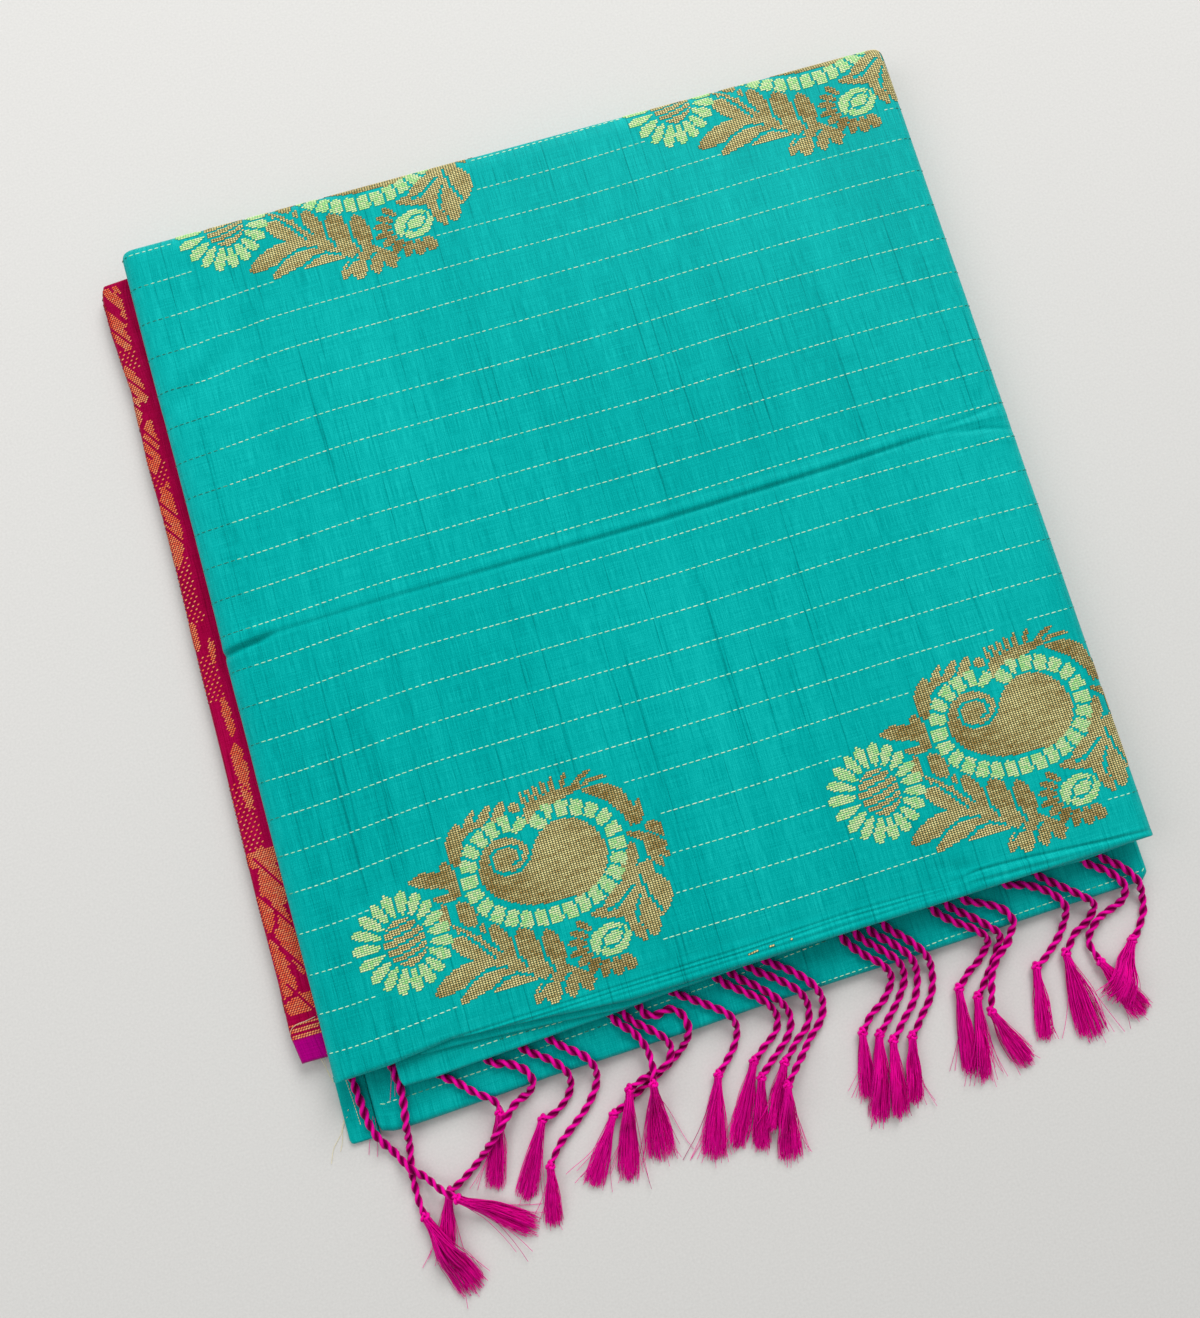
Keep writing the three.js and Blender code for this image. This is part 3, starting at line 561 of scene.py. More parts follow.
def side_surface(fold):
    """Surface of a strip folded at the left: u in from the middle of its fold, v along its length"""
    line = np.asarray(sorted((y, x) for x, y in fold["line"]))
    radius = fold["thick"] / 2

    def surface(u, v):
        u = np.asarray(u, dtype=float)
        v = np.asarray(v, dtype=float)
        outer = line_at(line, v)
        inward, height = fold_section(u, radius)
        x = outer + inward
        share = np.clip((x - outer) / (fold["inner"] - outer), 0, 1)
        rise = fold["outer_rise"] + (fold["inner_rise"] - fold["outer_rise"]) * share
        z = rise + radius + height * closed_end(v, line[0, 0], line[-1, 0], radius)
        return np.stack([x, v, z], axis=-1)

    return surface


def surface_frame(surface, u, v):
    """Places, directions along the weft and outward normals on a surface"""
    step = 0.15
    place = surface(u, v)
    across = surface(u + step, v) - surface(u - step, v)
    up_cloth = surface(u, v + step) - surface(u, v - step)
    normal = np.cross(across, up_cloth)
    along = across / np.linalg.norm(across, axis=-1, keepdims=True)
    return place, along, normal / np.linalg.norm(normal, axis=-1, keepdims=True)


def grid_faces(rows, columns):
    first = (np.arange(rows - 1)[:, None] * columns + np.arange(columns - 1)[None, :]).ravel()
    return np.stack([first, first + 1, first + columns + 1, first + columns], axis=1).tolist()


def cloth_sheet(name, surface, u, v, material, thickness=0.35):
    """Thin shell of cloth over a grid of flat places, with its UV map in metres of flat cloth"""
    points = surface(u.ravel(), v.ravel())
    piece = add_mesh(name, points, grid_faces(*u.shape), material=material)
    set_uv(piece, "cloth", np.stack([u.ravel(), v.ravel()], axis=1))
    add_modifier(piece, "SOLIDIFY", thickness=thickness * MM, offset=-1)
    return made_plain(piece)


def spaced(*stops):
    """Even steps between stops given as (place, steps to the next one)"""
    parts = [np.linspace(a, b, count, endpoint=False) for (a, count), (b, _) in zip(stops, stops[1:])]
    return np.concatenate([*parts, [stops[-1][0]]])


# Materials

def principled(name, **settings):
    material = bpy.data.materials.new(name)
    material.use_nodes = True
    nodes = NodeTree(material.node_tree)
    shader = material.node_tree.nodes["Principled BSDF"]
    for label, value in settings.items():
        shader.inputs[label.replace("_", " ")].default_value = value
    return material, nodes, shader


def streak_noise(nodes, vector, scale, detail=2.0, roughness=0.5):
    """Noise with its own scale along each way of the cloth, per metre"""
    mapped = nodes.out("ShaderNodeMapping", {"Vector": vector, "Scale": scale})
    inputs = {"Vector": mapped, "Scale": 1.0, "Detail": detail, "Roughness": roughness}
    return nodes.out("ShaderNodeTexNoise", inputs)


def shader_attribute(nodes, name, output="Fac"):
    """Value of a piece's named attribute in a material"""
    return nodes.add("ShaderNodeAttribute", attribute_name=name).outputs[output]


def bumped(nodes, shader, height, strength, distance):
    """Joins a height to the shader's normal"""
    inputs = {"Strength": strength, "Distance": distance, "Height": height}
    nodes.tree.links.new(nodes.out("ShaderNodeBump", inputs), shader.inputs["Normal"])


def woven_silk(name, shade, light, dark, end_colours=None):
    """Art silk: slubs along the warp, a finer weft, broad soft variation, and a low sheen"""
    shade, light, dark = linear(shade), linear(light), linear(dark)
    material, nodes, shader = principled(
        name, Roughness=0.5, Specular_IOR_Level=0.24, Specular_Tint=light,
        Sheen_Weight=0.08, Sheen_Roughness=0.4, Sheen_Tint=light,
    )
    cloth = nodes.out("ShaderNodeUVMap", uv_map="cloth")
    slub = streak_noise(nodes, cloth, (620, 16, 1))
    hair = streak_noise(nodes, cloth, (2300, 90, 1))
    weft = streak_noise(nodes, cloth, (60, 2100, 1))
    grain = streak_noise(nodes, cloth, (2600, 2600, 1), roughness=0.7)
    broad = streak_noise(nodes, cloth, (9, 6, 1))
    band = streak_noise(nodes, cloth, (90, 2.5, 1), detail=3.0)
    streak = streak_noise(nodes, cloth, (760, 7, 1))
    thin_warp = nodes.ramp(streak, 0.58, 0.74, 0.0, -0.17)
    total = nodes.math("ADD", thin_warp, nodes.math("MULTIPLY", slub, 0.12))
    for part, weight in ((hair, 0.4), (weft, 0.24), (grain, 0.6), (broad, 0.22), (band, 0.18)):
        total = nodes.math("ADD", total, nodes.math("MULTIPLY", part, weight))
    tone = nodes.ramp(total, 0.62, 1.1, smooth=False)
    lower = nodes.mix(nodes.ramp(tone, 0.0, 0.5, smooth=False), dark, shade)
    colour = nodes.mix(nodes.ramp(tone, 0.5, 1.0, smooth=False), lower, light)
    if end_colours:
        place = nodes.add("ShaderNodeTexCoord").outputs["Object"]
        height = nodes.add("ShaderNodeSeparateXYZ", {0: place}).outputs[1]
        plain_end = nodes.mix(tone, *(linear(code) for code in end_colours))
        colour = nodes.mix(nodes.ramp(height, *PLAIN_END), plain_end, colour)
    nodes.tree.links.new(colour, shader.inputs["Base Color"])
    bumped(nodes, shader, total, 0.35, 0.0003)
    return material


def float_thread(name, ground_and_shade, shade, light, edge, full, rough=0.4, dull=None):
    """Floats of thread whose edges, where they dive into the cloth, take the ground colour, darkened
    there as painted shade; dull where tint is 0
    """
    material, nodes, shader = principled(
        name, Roughness=rough, Specular_IOR_Level=0.15, Specular_Tint=linear(light),
    )
    crown = shader_attribute(nodes, "crown")
    tint = shader_attribute(nodes, "tint")
    body = nodes.mix(tint, linear(shade), linear(light))
    if dull:
        body = nodes.mix(nodes.ramp(tint, 0.02, 0.2), linear(dull), body)
    # Towards each float's edges the colour goes over to the ground colour, which in the gold and mint
    # finishes is darkened as painted shade between the floats
    colour = nodes.mix(nodes.ramp(crown, edge, full), linear(ground_and_shade), body)
    nodes.tree.links.new(colour, shader.inputs["Base Color"])
    return material


def thread_finish(name, dark, shade, light):
    """Glossy yarn with fine streaks along it, with painted shade where plies meet and a painted
    highlight on their crowns
    """
    dark, shade, light = linear(dark), linear(shade), linear(light)
    material, nodes, shader = principled(
        name, Roughness=0.34, Specular_IOR_Level=0.25, Specular_Tint=light,
        Sheen_Weight=0.08, Sheen_Roughness=0.35, Sheen_Tint=light,
    )
    tint = shader_attribute(nodes, "tint")
    outer = shader_attribute(nodes, "outer")
    fibre = streak_noise(nodes, shader_attribute(nodes, "yarn", "Vector"), (5, 5, 60))
    tone = nodes.math("ADD", nodes.math("MULTIPLY", fibre, 0.5), nodes.math("MULTIPLY", tint, 0.8))
    # Painted highlight: the crown of each ply, where it faces outward, is made lighter
    crown = nodes.ramp(outer, 0.3, 1.0, 0.0, 0.5)
    tone = nodes.ramp(nodes.math("ADD", tone, crown), 0.12, 0.88, smooth=False)
    # Painted shade: the dark colour where a ply faces the other ply
    colour = nodes.mix(nodes.ramp(outer, -0.5, 0.72), dark, nodes.mix(tone, shade, light))
    nodes.tree.links.new(colour, shader.inputs["Base Color"])
    bumped(nodes, shader, fibre, 0.4, 0.0002)
    return material


# Where the pallu's plain end turns into its zari stretch, in metres along the cloth
PLAIN_END = (-0.1785, -0.1745)

TEAL_SILK = woven_silk("teal_silk", "00A6A2", "18C6C0", "007C7A")
PALLU_SILK = woven_silk("pallu_silk", "9C0038", "C41058", "600020", ("740058", "C80090"))
# The dark ground colours of the gold and mint floats are painted shade between the floats
ZARI_GOLD = float_thread("zari_gold", "28402C", "B08A48", "FFF0A8", 0.2, 0.46, rough=0.3)
MINT_THREAD = float_thread("mint_thread", "0C7C68", "B4F48C", "F8FFC0", 0.15, 0.45, rough=0.42)
LINE_THREAD = float_thread(
    "line_thread", "6CD8B0", "A0FCC8", "E8FFE4", 0.0, 0.3, rough=0.45, dull="107064")
# The copper zari's dull colour is painted shade on the outer roll of the pallu's fold
COPPER_ZARI = float_thread(
    "copper_zari", "8A0630", "FC4C14", "FFBC80", 0.0, 0.35, rough=0.3, dull="A02028")
# The darkest tassel colour is painted shade where the plies meet
TASSEL_THREAD = thread_finish("magenta_thread", "3C0012", "780038", "FF0EAA")
PALE_THREAD = thread_finish("pale_thread", "8A8060", "D8C890", "FFF4C8")


# Top fold

def top_fold():
    """Top panel with the edges that turn down over the stack"""
    side = SIDE_TURN + SKIRT_LENGTH + LIP_LENGTH
    inner = HALF_WIDTH - SIDE_ROLL
    half = spaced(
        (0, 58), (inner - 20, 12), (inner, 9), (inner + SIDE_TURN, 4),
        (inner + SIDE_TURN + SKIRT_LENGTH, 4), (inner + side, 0),
    )
    us = np.concatenate([-half[:0:-1], half])
    front = FRONT_EDGE + FRONT_ROLL
    back = BACK_EDGE - SIDE_ROLL
    share_vs = spaced(
        (front - FRONT_TURN - FRONT_SKIRT - 3, 3), (front - FRONT_TURN - FRONT_SKIRT, 2),
        (front - FRONT_TURN, 9), (front, 22), (front + 9, 8), (front + 22, 72), (-10, 40), (12, 74),
        (back - 12, 7), (back, 9), (back + SIDE_TURN, 4), (back + SIDE_TURN + SKIRT_LENGTH, 4),
        (back + side, 0),
    )
    v, u = np.meshgrid(share_vs, us, indexing="ij")
    shift = line_at(TOP_FRONT_LINE, u) - FRONT_EDGE
    v = v + shift * np.clip((100 - v) / (100 - FRONT_EDGE), 0, 1) ** 3
    return cloth_sheet("top_cloth", top_surface, u, v, TEAL_SILK)


# Brocade

# Cells of the brocade: distance between floats along the weft and between rows
CELL_LENGTH = 1.25
ROW_PITCH = 0.92

# Loose floats of zari by the front fold
FRONT_STITCHES = [
    (-0.4, -196.5), (0.9, -196.4), (2.1, -196.2), (3.3, -196.1), (9.6, -195.9), (10.8, -195.9),
    (19.4, -195.6),
]

# Places of the motif's copies on the cloth, as shifts from the one at the front left
MOTIF_SHIFTS = [(0, 0), (220.5, 3.3), (4.6, 344.8), (226, 345.5)]
MOTIF_BOX = (-168, -18, -194, -95)

# Gold leaves of the motif: base x and y, tip x and y, greatest width, and bow to the left
GOLD_LEAVES = [
    # over the ring, on the left
    (-113.5, -124, -108.5, -105.5, 7.5, 1.5), (-110, -114, -100.3, -101.4, 4, -0.8),
    (-101, -109.5, -92.9, -101.4, 4.2, -0.8), (-94, -109.5, -85.9, -101.2, 4.6, -0.8),
    (-110.5, -112.5, -93, -106.2, 2.6, 0.8),
    # fan on its stem
    (-77.2, -115.4, -76, -105, 4.6, 0), (-84.6, -106, -79.5, -105.6, 5.2, 0),
    (-80, -110.5, -49.5, -104.8, 5, 1.6),
    # sweep over the ring, on the right
    (-56, -106, -44.6, -98.8, 2.4, 1), (-52, -105.6, -38, -104.4, 2.3, 1.8),
    (-51.5, -106.6, -33.4, -128.4, 8, 6.4), (-31.4, -128.8, -27.7, -117.4, 4.6, 0),
    (-28.9, -129.6, -21.1, -135.8, 5.6, 1.6), (-37.2, -130.6, -21, -140.6, 4, 0.6),
    (-31, -135.8, -21.6, -145.6, 5, 0.4), (-31, -138, -24.8, -149.9, 3.8, 0),
    (-36, -134.6, -45.4, -148.8, 6.4, 2),
    # sprays below them
    (-35.6, -149, -31, -169.3, 12, 2.4), (-30.6, -144.4, -56.2, -158.8, 7, 1.2),
    (-31, -144.6, -39, -164, 7, 0.6), (-62.2, -160.2, -47, -164.8, 4.6, 0.8),
    (-51, -164.6, -36.5, -155, 7, -0.8), (-39.8, -157.8, -37, -177.2, 9.2, 0.8),
    (-46.8, -161.6, -41.9, -178, 5.2, -0.6),
    # sprig by the flower
    (-117, -129.6, -136, -124.6, 7.4, -1), (-115.6, -136, -119, -119.6, 7, 1),
    (-114.6, -135.4, -127.2, -134.6, 3.6, 0.6),
    # branch under the ring
    (-124.4, -149, -123.6, -137.6, 5, 0.6), (-121.6, -146.6, -129.4, -147.2, 3, 0),
    (-112.4, -150.8, -117.2, -138.8, 8, 0), (-106, -166.4, -121.8, -147.8, 5, 0.4),
    (-112.4, -157.4, -108.6, -150, 3.6, 0), (-109.6, -167, -125, -154.4, 9.6, -1.6),
    (-98.6, -170.4, -105.6, -151.8, 8.4, 0.8), (-88, -177, -95, -157.2, 10.8, -0.4),
    (-80.8, -179, -83.2, -160.6, 8.6, 0), (-111, -167.6, -137.2, -174.8, 8.8, -1),
    (-98, -173, -127.8, -180.8, 9.6, -3.4), (-90, -179, -112.8, -179.4, 7.6, -2.2),
    (-112, -166.6, -80, -181, 9, 1.4), (-96, -174.6, -68, -188, 8, 0.6),
    (-89.6, -182.6, -95.8, -190.6, 4.8, 0), (-86, -183, -88.4, -193, 7.2, 0),
    (-78, -183, -80, -192.4, 6, 0), (-75, -184, -70.6, -192, 4.4, 0),
]

# Grooves of plain cloth between the leaves: points and width
GROOVES = [
    ([(-79.2, -123.6), (-81.5, -128.6), (-85, -131.9), (-89.5, -133.4), (-94, -132.8),
      (-97.4, -130.2), (-98.6, -126.5), (-97.4, -123), (-94, -121.2), (-89.6, -121.2),
      (-86, -122.8), (-84.5, -125.4), (-85.7, -128.2), (-89, -129.6)], 1.25),
    ([(-119.6, -151.4), (-113.6, -158.4), (-108, -165.8)], 1.1),
    ([(-112.6, -152.6), (-107.4, -159.6), (-104.6, -164.6)], 1.1),
    ([(-127.4, -178.6), (-121, -173.6), (-113, -170.4), (-104, -171.2)], 1.2),
    ([(-113.4, -180), (-107.4, -176.4), (-100.6, -175.4), (-94, -178)], 1.2),
    ([(-98.4, -160), (-98, -168), (-95, -173.4)], 1.2),
    ([(-87.4, -162), (-86.6, -172), (-84.2, -178.6)], 1.2),
    ([(-36.8, -150.4), (-35.4, -158.6), (-31.6, -167)], 1.2),
    ([(-42.8, -169), (-42, -163), (-39.4, -158.6)], 1.1),
    ([(-54, -160.6), (-47.6, -158.4), (-41, -153.4)], 1.1),
    ([(-92.6, -185.4), (-86.6, -180.4)], 1),
    ([(-83.6, -189), (-81.4, -184.6), (-78.4, -181.8)], 1),
]

# Ring of mint blocks round the paisley: an oval with a notch in its upper side
RING_CENTRE = (-76, -133.5)
RING_RADII = (33.6, 22.4)
NOTCH_X = -77.6
NOTCH_DEPTH = 8
NOTCH_WIDTH = 4.6
RING_BLOCKS = 29
BLOCK_LENGTH = 5.3
BLOCK_WIDTH = 7.3

# Paisley inside the ring: ovals of its body, belly and lobe, as centre, radii and turn
BODY = ((-64.5, -133.6), (16.9, 17.3), 0)
BELLY = ((-77, -134.8), (27.6, 15.6), -0.13)
BELLY_TOP = -127.5
LOBE = ((-92.2, -129), (12.2, 11.8), 0)

# Flower of mint petals round a striped heart, and bud with a half ring of gold petals
HEART = (-143.8, -148.6)
HEART_RADII = (9.4, 10.6)
HEART_BANDS = (-7.4, -3.6, 0.4, 4.2, 7.4)
MINT_PETALS = 19
BUD = (-57, -173)
BUD_EYE = (-55.8, -172.7)
BUD_GROOVES = [([(-61.2, -174.2), (-63.4, -178.4)], 1), ([(-50.8, -170.6), (-49, -167)], 0.9)]
BUD_PETALS = 9
FAN_TEETH = 6

# Small steps round the ring for each of its blocks, how square a block is, and how much wider the
# grooves are than listed
RING_STEPS = 8
SQUARENESS = 8
GROOVE_EXTRA = 0.3


def spline_line(points, steps=24):
    """Smooth line through points"""
    points = np.asarray(points, dtype=float)
    last = len(points) - 1
    t = np.linspace(0, 1, steps, endpoint=False)[:, None]
    pieces = []
    for i in range(last):
        p0, p1, p2, p3 = (points[min(max(i + k, 0), last)] for k in (-1, 0, 1, 2))
        v0 = (p2 - p0) / 2
        v1 = (p3 - p1) / 2
        pieces.append(
            (2 * p1 - 2 * p2 + v0 + v1) * t ** 3
            + (-3 * p1 + 3 * p2 - 2 * v0 - v1) * t ** 2 + v0 * t + p1
        )
    return np.concatenate([*pieces, points[-1:]])


def even_points(line, count):
    """Evenly spaced points along a line"""
    lengths = np.concatenate([[0], np.cumsum(np.linalg.norm(np.diff(line, axis=0), axis=1))])
    places = np.linspace(0, lengths[-1], count)
    return np.stack([np.interp(places, lengths, line[:, k]) for k in range(line.shape[1])], axis=1)


def in_leaf(x, y, row, fullness=0.62, outward=1.0):
    """Places inside a leaf that widens from its base and comes to a point"""
    x0, y0, x1, y1, width, *bow = row
    bow = bow[0] if bow else 0
    length = math.hypot(x1 - x0, y1 - y0)
    dx, dy = (x1 - x0) / length, (y1 - y0) / length
    along = ((x - x0) * dx + (y - y0) * dy) / length
    inside = (along > 0) & (along < 1)
    share = np.clip(along, 0, 1)
    aside = (y - y0) * dx - (x - x0) * dy - bow * 4 * share * (1 - share)
    swell = share ** outward
    return inside & (np.abs(aside) < width / 2 * (4 * swell * (1 - swell)) ** fullness)


def in_oval(x, y, centre, radii, turn=0.0):
    cos, sin = math.cos(turn), math.sin(turn)
    dx, dy = x - centre[0], y - centre[1]
    return ((dx * cos + dy * sin) / radii[0]) ** 2 + ((dy * cos - dx * sin) / radii[1]) ** 2 < 1


def near_line(x, y, points, width):
    """Places within half a width of a line of points"""
    nearest = np.full(np.shape(x), 1e9)
    for (x0, y0), (x1, y1) in zip(points, points[1:]):
        dx, dy = x1 - x0, y1 - y0
        share = np.clip(((x - x0) * dx + (y - y0) * dy) / (dx * dx + dy * dy), 0, 1)
        nearest = np.minimum(nearest, np.hypot(x - x0 - share * dx, y - y0 - share * dy))
    return nearest < width / 2


def ring_line():
    """Middle line of the ring of blocks"""
    turn = np.linspace(0, 2 * math.pi, 385)
    across, up = np.cos(turn), np.sin(turn)
    power = np.where(up > 0, 0.74, 0.95)
    x = RING_CENTRE[0] + RING_RADII[0] * np.sign(across) * np.abs(across) ** power
    y = RING_CENTRE[1] + RING_RADII[1] * np.sign(up) * np.abs(up) ** power
    notch = NOTCH_DEPTH * np.exp(-((x - NOTCH_X) / NOTCH_WIDTH) ** 2) * (up > 0)
    return np.stack([x, y - notch], axis=1)


def petal_row(centre, angle, inner, outer, width):
    """Row of in_leaf for a petal that points away from a centre"""
    cos, sin = math.cos(angle), math.sin(angle)
    return (
        centre[0] + inner[0] * cos, centre[1] + inner[1] * sin,
        centre[0] + outer[0] * cos, centre[1] + outer[1] * sin, width,
    )


def mint_petals():
    """Petals all round the heart, longer on the left"""
    rows = []
    for i in range(MINT_PETALS):
        angle = 2 * math.pi * (i + 0.3) / MINT_PETALS
        outer = 22 - 1.4 * math.cos(angle) + 0.5 * math.sin(5 * i)
        rows.append(petal_row(HEART, angle, (10.4, 11.4), (outer, outer), 4.7 + 0.25 * math.sin(3 * i)))
    return rows


def gold_rows():
    """Listed leaves, the teeth of the fan and the petals of the bud"""
    rows = list(GOLD_LEAVES)
    for i in range(FAN_TEETH):
        share = i / (FAN_TEETH - 1)
        x, y = -74.2 + 14.4 * share, -109.7 + 4.1 * share
        lean = 4 * share - 4.7 + 4.3 * share ** 6
        rows.append((x, y, x + lean, y + 10.5 - 1.5 * share, 2.4, 0.5))
    for i in range(BUD_PETALS):
        angle = 2.32 + 0.3 * i + 0.0053 * i * i
        rows.append(petal_row(BUD, angle, (10.2, 7.9), (19.2, 16.4), 3.1 + 0.045 * i * i))
    return rows


def ring_blocks(x, y):
    """Places inside the blocks of the ring, which are narrower on the inner side of a bend"""
    count = RING_BLOCKS * RING_STEPS
    ring = even_points(ring_line(), count + 1)
    inside = np.zeros(np.shape(x), dtype=bool)
    for i in range(0, count, RING_STEPS):
        centre = ring[i]
        ahead = ring[(i + 3) % count] - ring[(i - 3) % count]
        ahead = ahead / np.linalg.norm(ahead)
        along = (x - centre[0]) * ahead[0] + (y - centre[1]) * ahead[1]
        aside = (y - centre[1]) * ahead[0] - (x - centre[0]) * ahead[1]
        before = centre - ring[(i - 5) % count]
        after = ring[(i + 5) % count] - centre
        turn = before[0] * after[1] - before[1] * after[0]
        bend = turn / (np.linalg.norm(before) * np.linalg.norm(after)) / np.linalg.norm(after)
        shorter = min(1, 1.25 - 5 * abs(bend))
        half = BLOCK_LENGTH / 2 * shorter * np.clip(1 - bend * aside, 0.25, 1.12)
        across = np.abs(aside) / (BLOCK_WIDTH / 2)
        inside |= (np.abs(along) / half) ** SQUARENESS + across ** SQUARENESS < 1
    return inside


def motif_threads(x, y):
    """Thread of each place of the motif: 0 plain cloth, 1 gold, 2 mint"""
    thread = np.zeros(np.shape(x), dtype=int)
    for row in gold_rows():
        thread[in_leaf(x, y, row)] = 1
    belly = in_oval(x, y, *BELLY) & (y < BELLY_TOP)
    thread[in_oval(x, y, *BODY) | belly | in_oval(x, y, *LOBE)] = 1
    for points, width in GROOVES:
        thread[near_line(x, y, points, width + GROOVE_EXTRA)] = 0
    heart = in_oval(x, y, HEART, HEART_RADII)
    thread[heart] = 1
    for band in HEART_BANDS:
        low = HEART[1] - band
        arc = [(-153.6, low - 1.4), (-147, low - 0.4), (-140, low + 1.2), (-133.6, low + 4)]
        thread[near_line(x, y, arc, 0.95) & heart] = 0
    for row in mint_petals():
        thread[in_leaf(x, y, row, 0.45, 1.5)] = 2
    thread[ring_blocks(x, y)] = 2
    thread[in_oval(x, y, BUD, (9.2, 6.9), 0.12)] = 2
    inner_eye = in_oval(x, y, BUD_EYE, (4.5, 2.6), 0.35)
    thread[in_oval(x, y, BUD_EYE, (5.6, 3.7), 0.35) & ~inner_eye] = 0
    for points, width in BUD_GROOVES:
        thread[near_line(x, y, points, width)] = 0
    return thread


def brocade_cells():
    """Flat places, threads and tints of all cells of the four motifs, in rows and columns"""
    low_x, high_x, low_y, high_y = MOTIF_BOX
    rows = np.arange(low_y, high_y, ROW_PITCH)
    columns = np.arange(low_x, high_x, CELL_LENGTH)
    x, y = np.meshgrid(columns, rows)
    thread = motif_threads(x, y)
    loose = chance.random(x.shape)
    streaks = loose.copy()
    for shift in range(1, 5):
        streaks += np.roll(loose, shift, axis=1)
    streaks = np.clip(0.5 + (streaks / 5 - 0.5) * 2.6, 0, 1)
    # Painted sheen: a broad diagonal band of lighter and darker zari that stands in for light on the
    # metal thread
    painted_sheen = 0.5 + 0.5 * np.sin((x + y) / 14.1 + 3)
    tint = np.clip(0.52 * painted_sheen + 0.5 * streaks + 0.45 * (chance.random(x.shape) - 0.5), 0, 1)
    keep = thread > 0
    x, y, thread, tint = x[keep], y[keep], thread[keep], tint[keep]
    parts = []
    for shift_x, shift_y in MOTIF_SHIFTS:
        parts.append(np.stack([x + shift_x, y + shift_y, thread, tint], axis=1))
    cells = np.concatenate(parts)
    side = cells[:, 0] - (HALF_WIDTH - SIDE_ROLL)
    back = cells[:, 1] - (BACK_EDGE - SIDE_ROLL)
    reach = SIDE_TURN + SKIRT_LENGTH
    shown = (side < reach) & (back < reach) & ~((side > SIDE_TURN) & (back > SIDE_TURN))
    return cells[shown]


def float_tree():
    """A small domed float of thread at each point, along the weft"""
    tree, nodes, start, end = geometry_tree("woven_floats", [
        ("Length", "Float", CELL_LENGTH * MM), ("Width", "Float", ROW_PITCH * MM),
        ("Rise", "Float", 0.2 * MM), ("Columns", "Int", 3), ("Pinch", "Float", 0.0),
        ("Finish", "Material", None),
    ])
    length, width = start.outputs["Length"], start.outputs["Width"]
    tile = nodes.out("GeometryNodeMeshGrid", {
        "Size X": length, "Size Y": width, "Vertices X": start.outputs["Columns"], "Vertices Y": 3,
    })
    place = nodes.out("GeometryNodeInputPosition")
    x, y, _ = nodes.add("ShaderNodeSeparateXYZ", {0: place}).outputs
    side = nodes.math("DIVIDE", x, nodes.math("MULTIPLY", length, 0.5))
    end_share = nodes.math("POWER", nodes.math("ABSOLUTE", side), 2.5)
    across = nodes.math("DIVIDE", y, nodes.math("MULTIPLY", width, 0.5))
    edge_share = nodes.math("MULTIPLY", across, across)
    crown = nodes.math(
        "MULTIPLY", nodes.math("SUBTRACT", 1.0, end_share), nodes.math("SUBTRACT", 1.0, edge_share),
    )
    pinch = nodes.math("MULTIPLY", start.outputs["Pinch"], end_share)
    pinched = nodes.math("MULTIPLY", y, nodes.math("SUBTRACT", 1.0, pinch))
    raised = nodes.combined(x, pinched, nodes.math("MULTIPLY", crown, start.outputs["Rise"]))
    domed = nodes.out("GeometryNodeSetPosition", {"Geometry": tile, "Position": raised})
    up, along, girth = (nodes.named(label, "FLOAT_VECTOR") for label in ("up", "along", "girth"))
    turn = nodes.out("FunctionNodeAxesToRotation", {"Primary Axis": up, "Secondary Axis": along})
    laid = nodes.out("GeometryNodeInstanceOnPoints", {
        "Points": start.outputs["Geometry"], "Instance": nodes.stored(domed, "crown", crown),
        "Rotation": turn, "Scale": girth,
    })
    bare = nodes.out("GeometryNodeRealizeInstances", {"Geometry": laid})
    for label in ("up", "along", "girth"):
        bare = nodes.out("GeometryNodeRemoveAttribute", {"Geometry": bare, "Name": label})
    nodes.finish(bare, start, end)
    return tree


FLOAT_TREE = float_tree()


def lay_floats(name, surface, u, v, finish, length, width, rise, columns=3, pinch=0.0,
               tint=None, lift=0.1, girth=None):
    """Piece of floats at flat places of a surface"""
    place, along, up = surface_frame(surface, u, v)
    piece = add_mesh(name, place + up * lift)
    set_attribute(piece, "along", along)
    set_attribute(piece, "up", up)
    set_attribute(piece, "girth", np.ones_like(place) if girth is None else girth)
    set_attribute(piece, "tint", chance.random(len(place)) if tint is None else tint)
    return run_tree(piece, FLOAT_TREE, {
        "Length": length * MM, "Width": width * MM, "Rise": rise * MM, "Columns": columns,
        "Pinch": pinch, "Finish": finish,
    })


# Dashed thread lines of the top fold: height of each at the middle of the panel
LINE_HEIGHTS = [
    196, 180.2, 162.8, 146.3, 129.3, 111.5, 94, 76.5, 58.8, 41.5, 25.5, 9.3, -7.5, -24.3, -41.3,
    -58.8, -75.8, -92.3, -108.8, -126.5, -144.8, -162.3, -179.8,
]
DASH_PERIOD = 3.0
DASH_LENGTH = 2.15
DASH_WIDTH = 0.42

# A line stops this far before a motif that has cells within this reach of it
LINE_CLEAR = 1.6
MOTIF_REACH = 3.4

# How far the lines dip at the left edge, by height
LEFT_DIPS = [
    (-200, 5.6), (-120, 5.6), (-60, 4.4), (0, 3.8), (60, 3.4), (100, 4), (128, 5.2), (165, 3.4),
    (200, 1.6),
]

# Where the lines go dull near the left edge, by height
LEFT_DULL = [(-200, 186), (-100, 184), (-60, 180), (20, 170), (110, 164), (150, 170), (200, 182)]


def line_drift(x, height):
    """How far a thread line has moved along the cloth at x"""
    dip = line_at(LEFT_DIPS, height)
    left = smooth_share(-x, 100, 182)
    bulge = 0.9 * np.exp(-(((x + 138) / 22) ** 2)) * math.exp(-(((height - 135) / 40) ** 2))
    right = 2.4 * smooth_share(x, 5, 125) - 0.5 * smooth_share(x, 150, 188)
    return right + bulge - dip * left + 0.25 * np.sin(x / 31 + height / 17)


